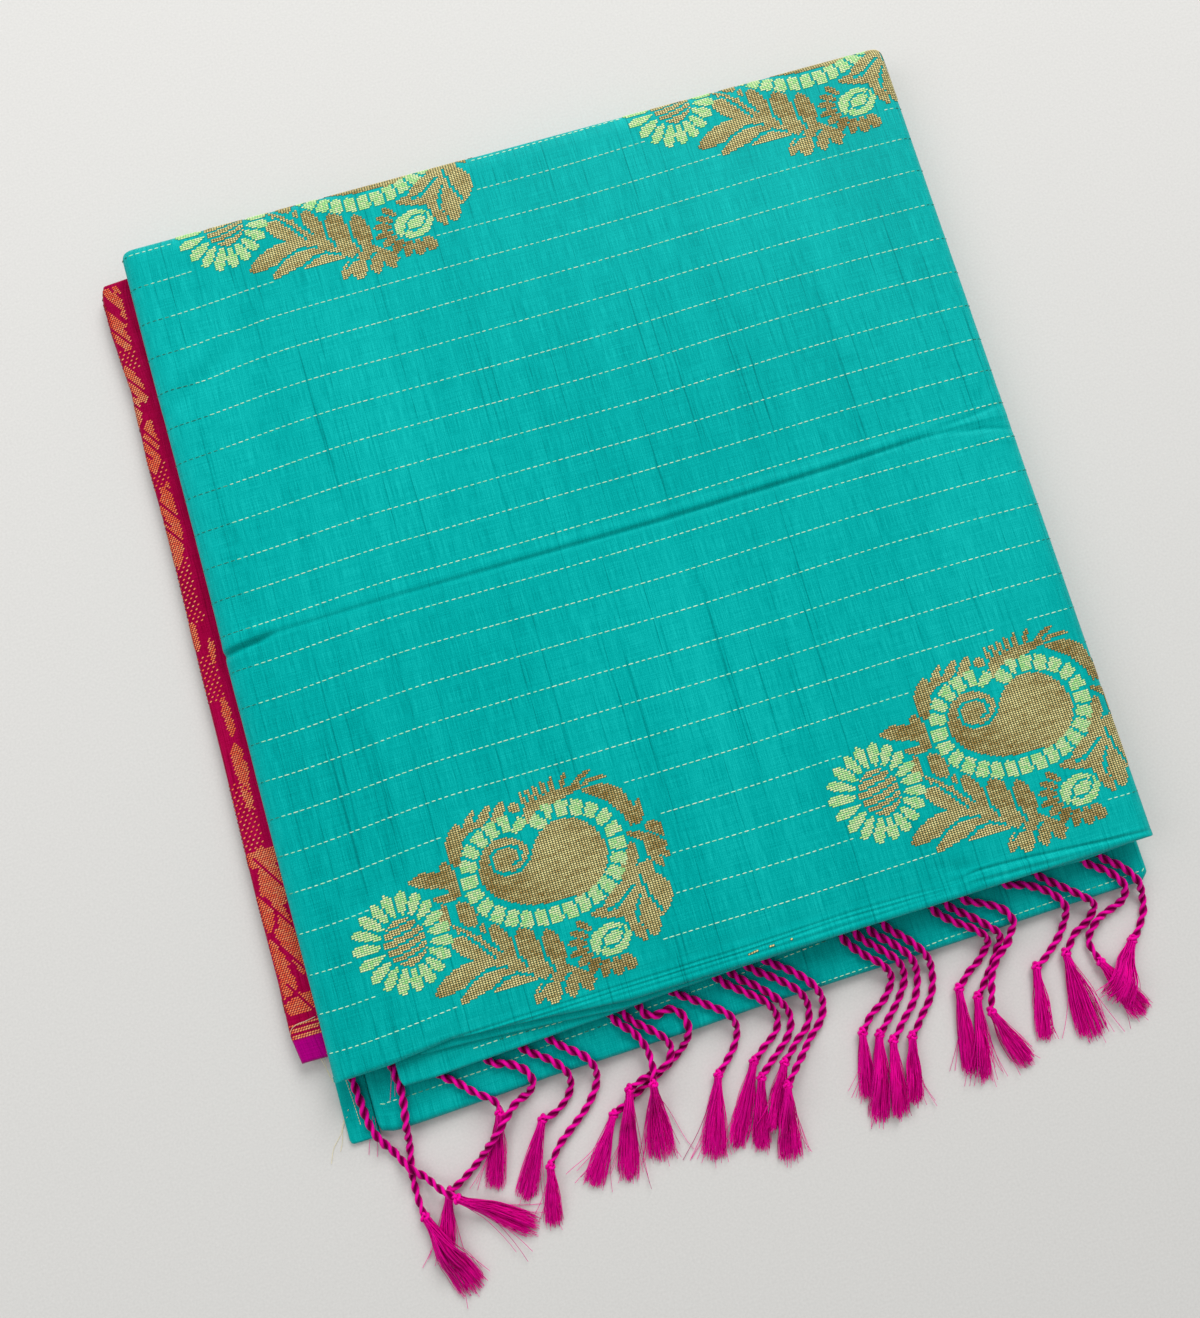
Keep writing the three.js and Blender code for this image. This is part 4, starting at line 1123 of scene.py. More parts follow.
def dash_places(start, end):
    """Uneven places of dashes along a thread line"""
    count = int((end - start) / DASH_PERIOD)
    steps = DASH_PERIOD * (1 + 0.12 * (chance.random(count) - 0.5))
    return start + np.cumsum(steps)


def lay_dashes(name, surface, u, v, tint=None):
    """Piece of uneven dashes of thread at flat places of a surface"""
    longer = 0.8 + 0.35 * chance.random(len(u))
    wider = 0.9 + 0.2 * chance.random(len(u))
    return lay_floats(
        name, surface, u, v, LINE_THREAD, DASH_LENGTH, DASH_WIDTH, 0.3, columns=5, pinch=0.55,
        tint=tint, lift=0.06, girth=np.stack([longer, wider, np.ones(len(u))], axis=1),
    )


def top_thread_lines(cells):
    """Dashed lines of the top fold, which stop where they meet a motif"""
    reach = HALF_WIDTH - SIDE_ROLL + SIDE_TURN + 1.5
    us, vs, tints = [], [], []
    for height in LINE_HEIGHTS:
        u = dash_places(-reach, reach)
        v = height + line_drift(u, height)
        keep = np.ones(len(u), dtype=bool)
        for shift_x, shift_y in MOTIF_SHIFTS:
            middle = shift_y + (MOTIF_BOX[2] + MOTIF_BOX[3]) / 2
            x, y = cells[:, 0], cells[:, 1]
            beside = (x > MOTIF_BOX[0] + shift_x) & (x < MOTIF_BOX[1] + shift_x)
            beside &= (np.abs(y - height) < MOTIF_REACH) & (np.abs(y - middle) < 55)
            if beside.any():
                left, right = x[beside].min() - LINE_CLEAR, x[beside].max() + LINE_CLEAR
                keep &= ~((u > left) & (u < right))
        us.append(u[keep])
        vs.append(v[keep])
        left_start = line_at(LEFT_DULL, height)
        dull = smooth_share(np.where(u[keep] < 0, -u[keep] - left_start, u[keep] - 181), 0, 8)
        tints.append(np.clip(chance.random(keep.sum()) * 0.75 + 0.25 - 1.3 * dull, 0, 1))
    u, v, tint = (np.concatenate(part) for part in (us, vs, tints))
    return lay_dashes("top_thread_lines", top_surface, u, v, tint)


def dress(piece, slot_name=None, *nodes):
    """Lets a piece ride on the saree and stand for its CAD nodes; its slot name is not used"""
    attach(piece, "root")
    if nodes:
        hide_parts(*nodes)
    return piece


# Folded flaps at the front

def flap_depth(fold, front):
    """Cloth length of a flap from the middle of its fold to its hidden back"""
    radius = fold["thick"] / 2
    return radius * math.pi / 2 + FLAP_BACK - front - radius


def flap_place(fold, x, y):
    """Flat place on a flap's upper ply of a point seen from above"""
    radius = fold["thick"] / 2
    behind = np.clip(y - line_at(fold["line"], x), 0, None)
    turn = np.arccos(np.clip(1 - behind / radius, -1, 1)) * radius
    return np.where(behind < radius, turn, radius * math.pi / 2 + behind - radius)


def round_fold(depth, quarter, flat_steps, roll_steps):
    """Flat distances from the middle of a fold, from one ply's hidden end round to the other's"""
    shares = np.linspace(1, 0, flat_steps, endpoint=False)
    flat = [quarter + share * (depth - quarter) for share in shares]
    roll = [np.full(len(depth), value) for value in np.linspace(quarter, -quarter, roll_steps)]
    return np.stack([*flat, *roll, *(-part for part in flat[::-1])])


def front_flap(name, fold, material):
    """Folded flap, open only at the back, where it goes in between the hidden layers"""
    line = fold["line"]
    left, right = line[0][0], line[-1][0]
    thick = fold["thick"]
    us = spaced((left, 8), (left + thick, 180), (right - thick, 8), (right, 0))
    steps = max(8, int(-min(y for _, y in line) + FLAP_BACK))
    depth = flap_depth(fold, line_at(line, us))
    v = -round_fold(depth, thick * math.pi / 4, steps, 12)
    return cloth_sheet(name, flap_surface(fold), np.broadcast_to(us, v.shape), v, material)


def side_flap(name, fold, material):
    """Folded strip that stands out to the left, open only on its hidden side"""
    line = sorted((y, x) for x, y in fold["line"])
    low, high = line[0][0], line[-1][0]
    thick = fold["thick"]
    vs = spaced((low, 8), (low + thick, 120), (high - thick, 8), (high, 0))
    quarter = thick * math.pi / 4
    depth = quarter + fold["inner"] - line_at(line, vs) - thick / 2
    u = round_fold(depth, quarter, 8, 10).T
    v = np.broadcast_to(vs[:, None], u.shape)
    return cloth_sheet(name, side_surface(fold), u[:, ::-1], v, material)


# Thread lines of the flaps, as points seen from above
UNDER_LINES = [
    [(-177.7, -214.6), (-160.3, -214.4), (-139.9, -213.8), (-123.5, -213.2), (-111.3, -212.3),
     (-101.1, -211.4), (-87.8, -210.8), (-71.4, -210), (-50, -208.3), (-17.3, -206.7),
     (13.4, -204.7), (37.9, -202.8)],
    [(23.6, -220.2), (52.2, -219.4), (73.6, -218.7), (85.9, -217.6), (113.5, -216.8),
     (133.9, -215.9), (147.2, -215.5), (169.7, -214.8), (186, -213.8)],
]
SECOND_LINES = [[(-130.5, -201.8), (-111, -201.2), (-95.3, -201.7), (-80.2, -201.8)]]
MIDDLE_LINES = [[(-48, -200.9), (-20, -200.2)]]


def flap_thread_lines(name, fold, lines):
    """Dashed thread lines of a flap"""
    us, vs = [], []
    for line in lines:
        x = dash_places(line[0][0], line[-1][0])
        us.append(x)
        vs.append(flap_place(fold, x, line_at(line, x)))
    return lay_dashes(name, flap_surface(fold), np.concatenate(us), np.concatenate(vs))


# Hidden layers

HIDDEN_EDGES = 10
HIDDEN_FOOT = 0.2
HIDDEN_CORNER = 7
HIDDEN_TUCK = 5


def hidden_layers(material):
    """Folded edges of the hidden layers, one above the other, over a flat underside"""
    half_x = HIDDEN_HALF - 0.7
    back, front = HIDDEN_BACK - 0.7, HIDDEN_FRONT
    radius = HIDDEN_CORNER
    corners = [(half_x, back, 0), (-half_x, back, 90), (-half_x, front, 180), (half_x, front, 270)]
    outline, outward = [], []
    for corner_x, corner_y, start in corners:
        centre_x = corner_x - math.copysign(radius, corner_x)
        centre_y = corner_y - math.copysign(radius, corner_y)
        for angle in np.radians(np.linspace(start, start + 90, 7)):
            cos, sin = math.cos(angle), math.sin(angle)
            outline.append((centre_x + radius * cos, centre_y + radius * sin))
            outward.append((cos, sin))
    outline.append(outline[0])
    outward.append(outward[0])
    lengths = np.concatenate([[0], np.cumsum(np.linalg.norm(np.diff(outline, axis=0), axis=1))])
    places = np.unique(np.concatenate([np.linspace(0, lengths[-1], 240), lengths]))[:-1]
    x, y = (np.interp(places, lengths, np.array(outline)[:, k]) for k in (0, 1))
    out_x, out_y = (np.interp(places, lengths, np.array(outward)[:, k]) for k in (0, 1))
    size = np.hypot(out_x, out_y)
    out_x, out_y = out_x / size, out_y / size
    bottom, top = HIDDEN_FOOT, HIDDEN_TOP
    pitch = (top - bottom) / HIDDEN_EDGES
    turn = places / lengths[-1] * 2 * math.pi
    levels, insets = [], []
    for edge in range(HIDDEN_EDGES):
        wander = 0.9 + 0.35 * np.sin(3 * turn + edge * 2.3) + 0.25 * np.sin(7 * turn + edge * 4.1)
        sag = 0.18 * np.sin(5 * turn + edge * 1.7)
        for share in (0, 0.12, 0.32, 0.5, 0.68, 0.88):
            round_in = 1 - math.sqrt(1 - (2 * share - 1) ** 2 * 0.97)
            levels.append(bottom + pitch * (edge + share) + sag * math.sin(math.pi * share))
            insets.append(np.clip(wander, 0.1, 1.6) + round_in * pitch * 0.62)
    levels.append(np.full(len(places), top))
    insets.append(np.full(len(places), HIDDEN_TUCK))
    rings = [np.stack([x - out_x * 3, y - out_y * 3, np.full(len(x), bottom)], axis=1)]
    for level, inset in zip(levels, insets):
        z = np.broadcast_to(level, len(x))
        rings.append(np.stack([x - out_x * inset, y - out_y * inset, z], axis=1))
    points = np.concatenate([[(0, 0, bottom)], *rings])
    count = len(x)
    faces = [(0, 1 + (i + 1) % count, 1 + i) for i in range(count)]
    for ring in range(len(rings) - 1):
        first = 1 + ring * count
        for i in range(count):
            ahead = (i + 1) % count
            faces.append((first + i, first + ahead, first + count + ahead, first + count + i))
    piece = add_mesh("hidden_layers", points, faces, material=material)
    distance = np.concatenate([[0], np.repeat(np.arange(len(rings)) * 1.3, count)])
    around = np.concatenate([[0], np.tile(places, len(rings))])
    set_uv(piece, "cloth", np.stack([around, distance], axis=1))
    add_modifier(piece, "SOLIDIFY", thickness=0.35 * MM, offset=-1)
    return made_plain(piece)


# Tassels

LAY_LENGTH = 11.4
PLY_RADIUS = 1.04
PLY_OFFSET = 0.94
STRANDS = 170
STRAND_STEPS = 9
LOCK_POINTS = 60
CORD_STEP = 1.35
CORD_REST = 1.7
KNOT_SIZE = 1.75
KNOT_YARN = 1.05

# Half height and half width of a brush at its knot, and how much less they are at its tip
BRUSH_HEIGHT = (1.9, 0.8)
BRUSH_WIDTH = (1.7, 0.7)
STRAY_BEND = 4.5
STRAND_RADIUS = 0.2
STRAY_SHARE = 0.08


def ground_rest(x, y, radius):
    """Lowest height of the middle of a round strand on the floor or the flaps, as in the CAD"""
    clear = radius + REST_GAP
    round_edge = UNDER_FOLD["thick"] / 2
    line = UNDER_FOLD["line"]
    beyond = np.maximum(line_at(line, x) - y, line[0][0] - x)
    across = np.clip(beyond + round_edge, 0, None)
    raised = round_edge + np.sqrt(np.clip((round_edge + clear) ** 2 - across ** 2, 0, None))
    rest = np.where(beyond < clear, np.maximum(clear, raised), clear)
    over_pad = (x < CORNER_FOLD["right"] + clear) & (y > CORNER_FOLD["front"] - clear)
    return np.where(over_pad, np.maximum(rest, CORNER_FOLD["thick"] + clear), rest)


def lay_path(flat_line, radius_at, laid):
    """Points of a strand that lies down on what is below it, with a radius at each"""
    length = np.linalg.norm(np.diff(flat_line, axis=0), axis=1).sum()
    count = max(4, round(length / SAMPLE_STEP))
    flat = even_points(flat_line, count + 1)
    radii = np.array([radius_at(i / count) for i in range(count + 1)])
    heights = ground_rest(flat[:, 0], flat[:, 1], radii)
    if len(laid):
        apart = np.hypot(flat[:, :1] - laid[None, :, 0], flat[:, 1:] - laid[None, :, 1])
        reach = radii[:, None] + laid[None, :, 3] + SEAM_GAP
        over = laid[None, :, 2] + np.sqrt(np.clip(reach ** 2 - apart ** 2, 0, None))
        heights = np.maximum(heights, np.where(apart < reach, over, 0).max(axis=1))
    fall = RAMP_SLOPE * length / count
    for i in range(1, count + 1):
        heights[i] = max(heights[i], heights[i - 1] - fall)
    for i in range(count - 1, -1, -1):
        heights[i] = max(heights[i], heights[i + 1] - fall)
    return np.column_stack([flat, heights, radii])


def turned(vector, angle):
    cos, sin = math.cos(angle), math.sin(angle)
    return np.array([vector[0] * cos - vector[1] * sin, vector[0] * sin + vector[1] * cos])


def lock_line(knot, reach, share, spread):
    """Flat middle line of one lock of a brush, as in the CAD"""
    angle = share * spread
    length = 1 - LOCK_SHORT * abs(share) - LOCK_RAGGED * abs(math.sin(share * RAGGED_TURNS))
    root = knot + reach * LOCK_ROOT
    middle = knot + turned(reach, angle * LOCK_BOW) * 0.5
    return spline_line([root, middle, knot + turned(reach, angle) * length])


def lay_tassels():
    """Laid cord and lock lines of each tassel, one after the other"""
    laid = np.empty((0, 4))
    tassels = {}
    for label, (cord, tip, spread) in TASSELS.items():
        def radius_at(share):
            girth = CORD_RADIUS + (CORD_END_RADIUS - CORD_RADIUS) * share
            return KNOT_RADIUS if share > KNOT_SHARE else girth

        samples = lay_path(spline_line(cord), radius_at, laid)
        knot = samples[-1, :2]
        knot_height = samples[-6:, 2].max()
        reach = np.array(tip, dtype=float) - knot
        locks = []
        for k in range(LOCK_COUNT):
            share = 2 * k / (LOCK_COUNT - 1) - 1
            line = lay_path(lock_line(knot, reach, share, spread), lambda s: LOCK_RADIUS, laid)
            along = np.linspace(0, 1, len(line))
            if k % 2:
                line[:, 2] += LOCK_LIFT * (1 - along ** 2)
            blend = np.clip(1 - along / 0.4, 0, 1)
            line[:, 2] = line[:, 2] * (1 - blend) + knot_height * blend
            locks.append(line)
        tassels[label] = {"samples": samples, "knot_height": knot_height, "reach": reach, "locks": locks}
        laid = np.concatenate([laid, samples, *locks])
    return tassels


def thread_tree():
    """Twisted cords and fine strands along lines, with the radius of each in the named girth"""
    tree, nodes, start, end = geometry_tree("twisted_threads", [
        ("Plies", "Int", 2), ("Lay", "Float", LAY_LENGTH * MM),
        ("Offset", "Float", PLY_OFFSET / PLY_RADIUS * MM),
        ("Ply Sides", "Int", 9), ("Strand Sides", "Int", 3), ("Finish", "Material", None),
    ])
    lines = nodes.out("GeometryNodeMeshToCurve", {"Mesh": start.outputs["Geometry"]})
    upright = nodes.out("GeometryNodeSetCurveNormal", {"Curve": lines}, mode="Z_UP")
    twisted, girth = nodes.named("twisted"), nodes.named("girth")
    picked = nodes.out("FunctionNodeCompare", {0: twisted, 1: 0.5}, operation="GREATER_THAN")
    inputs = {"Geometry": upright, "Selection": picked}
    cords, strands = nodes.add("GeometryNodeSeparateGeometry", inputs, domain="CURVE").outputs
    inputs = {"Geometry": cords, "Amount": start.outputs["Plies"]}
    plies, ply = nodes.add("GeometryNodeDuplicateElements", inputs, domain="SPLINE").outputs
    spline = nodes.add("GeometryNodeSplineParameter")
    turns = nodes.math("DIVIDE", spline.outputs["Length"], start.outputs["Lay"])
    share = nodes.math("DIVIDE", ply, start.outputs["Plies"])
    angle = nodes.math("MULTIPLY", nodes.math("ADD", turns, share), 2 * math.pi)
    normal = nodes.out("GeometryNodeInputNormal")
    across = nodes.vector("CROSS_PRODUCT", nodes.out("GeometryNodeInputTangent"), normal)
    aside = nodes.vector(
        "ADD", nodes.scaled(normal, nodes.math("COSINE", angle)),
        nodes.scaled(across, nodes.math("SINE", angle)),
    )
    offset = nodes.scaled(aside, nodes.math("MULTIPLY", girth, start.outputs["Offset"]))
    upward = nodes.combined(0.0, 0.0, 1.0)
    joined = nodes.add("GeometryNodeJoinGeometry")
    for curves, outward, sides in ((plies, aside, "Ply Sides"), (strands, upward, "Strand Sides")):
        spot = nodes.add("GeometryNodeSplineParameter")
        kept = nodes.stored(curves, "distance", spot.outputs["Length"])
        kept = nodes.stored(kept, "outward", outward, "FLOAT_VECTOR")
        if outward is aside:
            kept = nodes.out("GeometryNodeSetPosition", {"Geometry": kept, "Offset": offset})
        inputs = {"Resolution": start.outputs[sides], "Radius": MM}
        circle = nodes.out("GeometryNodeCurvePrimitiveCircle", inputs)
        around = nodes.add("GeometryNodeSplineParameter").outputs["Factor"]
        tube = nodes.out("GeometryNodeCurveToMesh", {
            "Curve": kept, "Profile Curve": nodes.stored(circle, "around", around),
            "Scale": girth, "Fill Caps": True,
        })
        tree.links.new(tube, joined.inputs[0])
    angle = nodes.math("MULTIPLY", nodes.named("around"), 2 * math.pi)
    yarn = nodes.combined(
        nodes.math("COSINE", angle), nodes.math("SINE", angle), nodes.named("distance"))
    marked = nodes.stored(joined.outputs[0], "yarn", yarn, "FLOAT_VECTOR")
    # How far each point of a ply faces outward, 1 on plain strands; the finish paints shade and
    # highlight from it
    facing = nodes.add("ShaderNodeVectorMath", {
        0: nodes.out("GeometryNodeInputNormal"), 1: nodes.named("outward", "FLOAT_VECTOR"),
    }, operation="DOT_PRODUCT").outputs["Value"]
    plain = nodes.math("SUBTRACT", 1.0, twisted)
    marked = nodes.stored(marked, "outer", nodes.math("MAXIMUM", facing, plain))
    nodes.finish(nodes.out("GeometryNodeRealizeInstances", {"Geometry": marked}), start, end)
    return tree


THREAD_TREE = thread_tree()


def thread_lines(name, lines, material):
    """Piece of threads along lines given as (points, girths, twisted, tint)"""
    edges = []
    first = 0
    for line in lines:
        count = len(line[0])
        edges += [(first + i, first + i + 1) for i in range(count - 1)]
        first += count
    piece = add_mesh(name, np.concatenate([line[0] for line in lines]), edges=edges)
    for index, label in ((1, "girth"), (2, "twisted"), (3, "tint")):
        values = [np.broadcast_to(line[index], len(line[0])) for line in lines]
        set_attribute(piece, label, np.concatenate(values))
    return run_tree(piece, THREAD_TREE, {"Finish": material})


def knot_line(centre, along, size):
    """Trefoil of the knot that ties the cord's end, squashed a little"""
    t = np.linspace(0, 2 * math.pi, 34)
    across = np.cross((0, 0, 1), along)
    first = np.sin(t) + 2 * np.sin(2 * t)
    second = np.cos(t) - 2 * np.cos(2 * t)
    third = -np.sin(3 * t)
    points = (
        np.outer(first, across) * size * 0.34 + np.outer(second, along) * size * 0.3
        + np.outer(third, (0, 0, 1)) * size * 0.5
    )
    return points + centre


def brush_lines(laid, rng):
    """Fine strands of a brush, spread between the locks it is laid on"""
    locks = laid["locks"]
    reach = laid["reach"]
    knot = laid["samples"][-1, :2]
    length = np.linalg.norm(reach)
    outward = reach / length
    side = np.array([-outward[1], outward[0]])
    t = np.linspace(0, 1, STRAND_STEPS + 1)
    start = np.array([*(knot + outward * 0.5), laid["knot_height"]])
    grids = np.array([
        even_points(np.vstack([start, even_points(lock[:, :3], 40)]), LOCK_POINTS) for lock in locks
    ])
    lines = []
    for _ in range(STRANDS):
        share = rng.beta(1.15, 1.15) * (LOCK_COUNT - 1)
        low = min(int(share), LOCK_COUNT - 2)
        part = share - low
        reach_share = 1.02 - 0.16 * rng.random() ** 2 + 0.03 * rng.standard_normal()
        stray = rng.random() < STRAY_SHARE
        if stray:
            reach_share += 0.1 * rng.random()
        middle = grids[low] * (1 - part) + grids[low + 1] * part
        places = np.clip(t * reach_share, 0, 1.12) * (LOCK_POINTS - 1)
        inside = np.clip(places, 0, LOCK_POINTS - 1)
        steps = np.arange(LOCK_POINTS)
        point = np.stack([np.interp(inside, steps, middle[:, k]) for k in range(3)], axis=1)
        past = np.clip(places / (LOCK_POINTS - 1) - 1, 0, None)[:, None]
        tip_way = middle[-1, :2] - middle[-8, :2]
        point[:, :2] += past * length * tip_way / np.linalg.norm(tip_way)
        turn = rng.random() * 2 * math.pi
        ring = math.sqrt(rng.random())
        point[:, 2] += ring * math.sin(turn) * (BRUSH_HEIGHT[0] - BRUSH_HEIGHT[1] * t)
        sideways = ring * math.cos(turn) * (BRUSH_WIDTH[0] - BRUSH_WIDTH[1] * t)
        wave = 0.5 * t * np.sin(t * (4 + 4 * rng.random()) + rng.random() * 6.3) * rng.standard_normal()
        if stray:
            wave = wave + t ** 2 * rng.standard_normal() * STRAY_BEND
        point[:, :2] += np.outer(sideways + wave, side)
        lift = 0.9 * rng.random() * (1 - 0.5 * t)
        rest = ground_rest(point[:, 0], point[:, 1], STRAND_RADIUS) + lift
        point[:, 2] = np.maximum(point[:, 2], rest)
        girth = STRAND_RADIUS * (1 - 0.35 * t) * (0.85 + 0.3 * rng.random())
        lines.append((point, girth, 0, 1.6 * rng.random() - 0.45))
    return lines


def tassel(label, laid):
    """One tassel: twisted cord, knot and brush"""
    rng = np.random.default_rng(SEED + int(label))
    samples = laid["samples"]
    count = max(12, int(len(samples) * SAMPLE_STEP / CORD_STEP))
    cord = even_points(samples[:, :3], count)
    soft = cord.copy()
    for _ in range(2):
        soft[1:-1, 2] = (soft[:-2, 2] + 2 * soft[1:-1, 2] + soft[2:, 2]) / 4
    cord[:, 2] = np.maximum(soft[:, 2], ground_rest(cord[:, 0], cord[:, 1], CORD_REST))
    share = np.linspace(0, 1, count)
    girth = (CORD_RADIUS + (CORD_END_RADIUS - CORD_RADIUS) * share) / (PLY_RADIUS + PLY_OFFSET)
    girth = girth * (1 + 0.07 * np.sin(share * 26 + rng.random() * 6) * rng.random())
    knot = np.array([*samples[-1, :2], laid["knot_height"]])
    outward = np.array([*laid["reach"], 0]) / np.linalg.norm(laid["reach"])
    tie = knot_line(knot - outward * 0.6, outward, KNOT_SIZE)
    lines = [(cord, girth * PLY_RADIUS, 1, 0.16 * rng.random())]
    lines.append((tie, KNOT_YARN, 0, 0.3 * rng.random()))
    return thread_lines(f"tassel_{label}_threads", lines + brush_lines(laid, rng), TASSEL_THREAD)


# Zari of the pallu's fold

ZARI_LENGTH = 1.3
ZARI_PITCH = 0.95
PALLU_INWARD = 14.5
FOLD_TAKE_UP = 0.9

# Gold leaves of the pallu, as those of the brocade
PALLU_LEAVES = [
    (-209, -161.2, -189, -162.2, 9.5, 0), (-201.4, -145, -201.2, -162, 7.6, 0),
    (-203.6, -130.5, -202.6, -151, 6, 0.8), (-196.4, -117.4, -193.6, -150, 9.4, -1.4),
    (-203, -108.6, -202.2, -129.6, 7.2, 0), (-197.4, -97.6, -196.6, -119, 12, 0),
    (-208, -94.8, -188, -95.2, 8.6, 0), (-198.2, -56, -197.6, -72.4, 4.8, 0),
    (-197.8, -41, -197.2, -61.6, 6.4, 0), (-197.8, -18.6, -197.2, -38, 4.2, 0),
    (-203.8, 4, -203.6, 19, 4.8, 0), (-197.6, -3, -196.4, 10, 3.2, 0),
    (-202.6, 46, -198, 87, 9.6, 0.6), (-202.6, 93, -199, 113.6, 7.4, 0),
    (-204, 100, -198.6, 118.6, 5.4, 0), (-205.8, 115.4, -203, 131.6, 6.2, 0),
    (-203.8, 147.6, -197.8, 127.4, 6, 0), (-205, 174, -199.4, 155, 6.8, 0),
    (-205.6, 191, -199.4, 166, 9.4, 0.4), (-202, 193, -197.6, 177, 6, 0),
]
PALLU_GROOVES = [
    ([(-208, -126.4), (-203, -130), (-199.8, -137), (-196, -147.6), (-193, -152)], 1.9),
    ([(-207, -107.8), (-201.6, -114), (-198.6, -119), (-199.4, -125), (-202.4, -129)], 1.7),
    ([(-205, -159.6), (-199.4, -157.6), (-194, -154)], 1.6),
    ([(-207, 186), (-199, 174)], 1.3), ([(-205, 178), (-198, 169)], 1.2),
    ([(-206, 113), (-197, 101.4)], 1.4), ([(-206.6, 75), (-201.4, 66)], 1.2),
]

# Stretches of the pallu with a dotted mesh of zari, the dashed band near its end, how far in or
# out each goes, and where the zari stops short of the stack and the slant of its stripes changes
DOTTED_STRETCHES = [(-90, -59), (-21, 2), (18, 50), (84, 99), (145, 157)]
DOTTED_INNER = -195.8
DASHED_BAND = (-177, -170.4)
DASHED_OUTER = -205.5
SHORT_FROM = 8
SHORT_INNER = -196.6
STRIPE_CHANGE = 52


def pallu_cells():
    """Flat places and tints of the zari cells of the pallu's fold"""
    line = sorted((y, x) for x, y in PALLU_FOLD["line"])
    rows = np.arange(line[0][0] + 3, line[-1][0] - 2, ZARI_PITCH)
    columns = np.arange(-9, PALLU_INWARD, ZARI_LENGTH)
    u, v = np.meshgrid(columns, rows)
    row = np.arange(len(rows))[:, None] + np.zeros_like(u, dtype=int)
    column = np.arange(len(columns))[None, :] + np.zeros_like(u, dtype=int)
    u = u + (row % 2) * ZARI_LENGTH / 2
    x = line_at(line, v) + u - FOLD_TAKE_UP
    thread = np.zeros(u.shape, dtype=bool)
    for leaf in PALLU_LEAVES:
        thread |= in_leaf(x, v, leaf, 0.4)
    for points, width in PALLU_GROOVES:
        thread &= ~near_line(x, v, points, width)
    thread &= ~((v > STRIPE_CHANGE) & ((v + 1.3 * (x + 202)) % 12.5 < 1.5))
    thread &= ~((v < STRIPE_CHANGE) & ((v + 1.6 * (x + 202)) % 19 < 1.5))
    for low, high in DOTTED_STRETCHES:
        dots = (v > low) & (v < high) & (row % 2 == 0) & ((column + row // 2) % 2 == 0)
        thread |= dots & (x < DOTTED_INNER)
    low, high = DASHED_BAND
    band = (v > low) & (v < high)
    thread = np.where(band, (row % 3 != 2) & (x > DASHED_OUTER), thread)
    thread &= ~((v > SHORT_FROM) & (x > SHORT_INNER))
    thread &= ~(v < low)
    # Painted shade: towards the fold's outer roll the tint falls to 0, which gives the dull colour
    edge = np.clip((x + 206) / 2.6, 0, 1)
    pale = np.exp(-(((v - 124) / 6) ** 2)) + 0.6 * band + 0.25 * np.sin(v / 19)
    tint = np.clip(0.22 + 0.5 * chance.random(u.shape) ** 1.5 + 0.45 * pale, 0.22, 1) * edge
    return u[thread], v[thread], tint[thread]


def pallu_zari():
    """Zari floats of the pallu's fold"""
    u, v, tint = pallu_cells()
    return lay_floats(
        "pallu_zari", side_surface(PALLU_FOLD), u, v, COPPER_ZARI,
        ZARI_LENGTH * 0.98, ZARI_PITCH * 0.86, 0.2, tint=tint,
    )


# Loose threads, each a line of points over the floor with its radius

PALE_ENDS = [
    ([(-206.4, -178, 3.5), (-206.2, -174, 7.2), (-204.4, -171.4, 8.6), (-201.4, -170.2, 9.3),
      (-197.6, -169.9, 9.8), (-193, -169.2, 9.6)], 0.16),
    ([(-195.6, -187.6, 8), (-195.2, -191, 6.4), (-194.4, -195, 5.4), (-193.6, -199, 4.6)], 0.13),
    ([(-194.6, -186, 8.6), (-194.8, -190, 5.6), (-195.4, -194.6, 3.4), (-194.6, -200, 1.6)], 0.12),
    ([(-190.6, -213, 3.1), (-194.4, -217.6, 0.5), (-197.4, -223, 0.3), (-202, -228, 0.3),
      (-204.6, -234, 0.3)], 0.13),
    ([(-192, -216, 3), (-195.6, -220, 0.5), (-197.6, -226.4, 0.3), (-199.4, -230, 0.3)], 0.12),
]
MAGENTA_ENDS = [
    ([(-166.6, -199.6, 10.6), (-167.6, -204, 8.2), (-169.6, -209.6, 6.8), (-171, -214, 6.7)], 0.14),
    ([(-165.6, -199.6, 10.8), (-166.2, -205, 8.4), (-167.8, -210, 6.8), (-168.6, -213, 6.7)], 0.12),
    ([(-181, -219, 3.1), (-183, -224.6, 3), (-185.6, -229.6, 1.4), (-187.6, -235, 0.4)], 0.13),
    ([(-180.2, -220, 3.2), (-181.4, -226, 3), (-182.6, -231, 0.6), (-184.2, -237, 0.35)], 0.11),
]


def loose_threads(name, ends, material):
    """Piece of loose ends of thread"""
    lines = []
    for points, girth in ends:
        line = even_points(spline_line(points), 24)
        lines.append((line, girth, 0, 0.55))
    return thread_lines(name, lines, material)


# Thin gold selvedge line of the lowest fold's corner
SELVEDGE_DASHES = 17
SELVEDGE_LINE = [(-188.6, -199), (-187.8, -208), (-187.2, -220)]


def selvedge_dashes():
    """Gold dashes along the selvedge of the corner"""
    lines = []
    for x, y in even_points(np.array(SELVEDGE_LINE, dtype=float), SELVEDGE_DASHES):
        start = np.array([x, y, CORNER_FOLD["thick"] + 0.06])
        lines.append((np.array([start, start - (0.04, 0.5, 0), start - (0.1, 0.95, 0)]), 0.2, 0, 0.6))
    return thread_lines("selvedge_line", lines, PALE_THREAD)


# Camera, light and floor

CAMERA_PLACE = (-0.05106, -0.11642, 0.5609)
CAMERA_RIGHT = (0.95917, -0.28266, 0.01018)
CAMERA_UP = (0.27921, 0.95198, 0.12562)
CAMERA_BACK = (-0.0452, -0.11764, 0.99203)
SENSOR_WIDTH = 36
FOCAL_LENGTH = 32.78
SKY_STRENGTH = 0.42
FLOOR_HALF = 1500


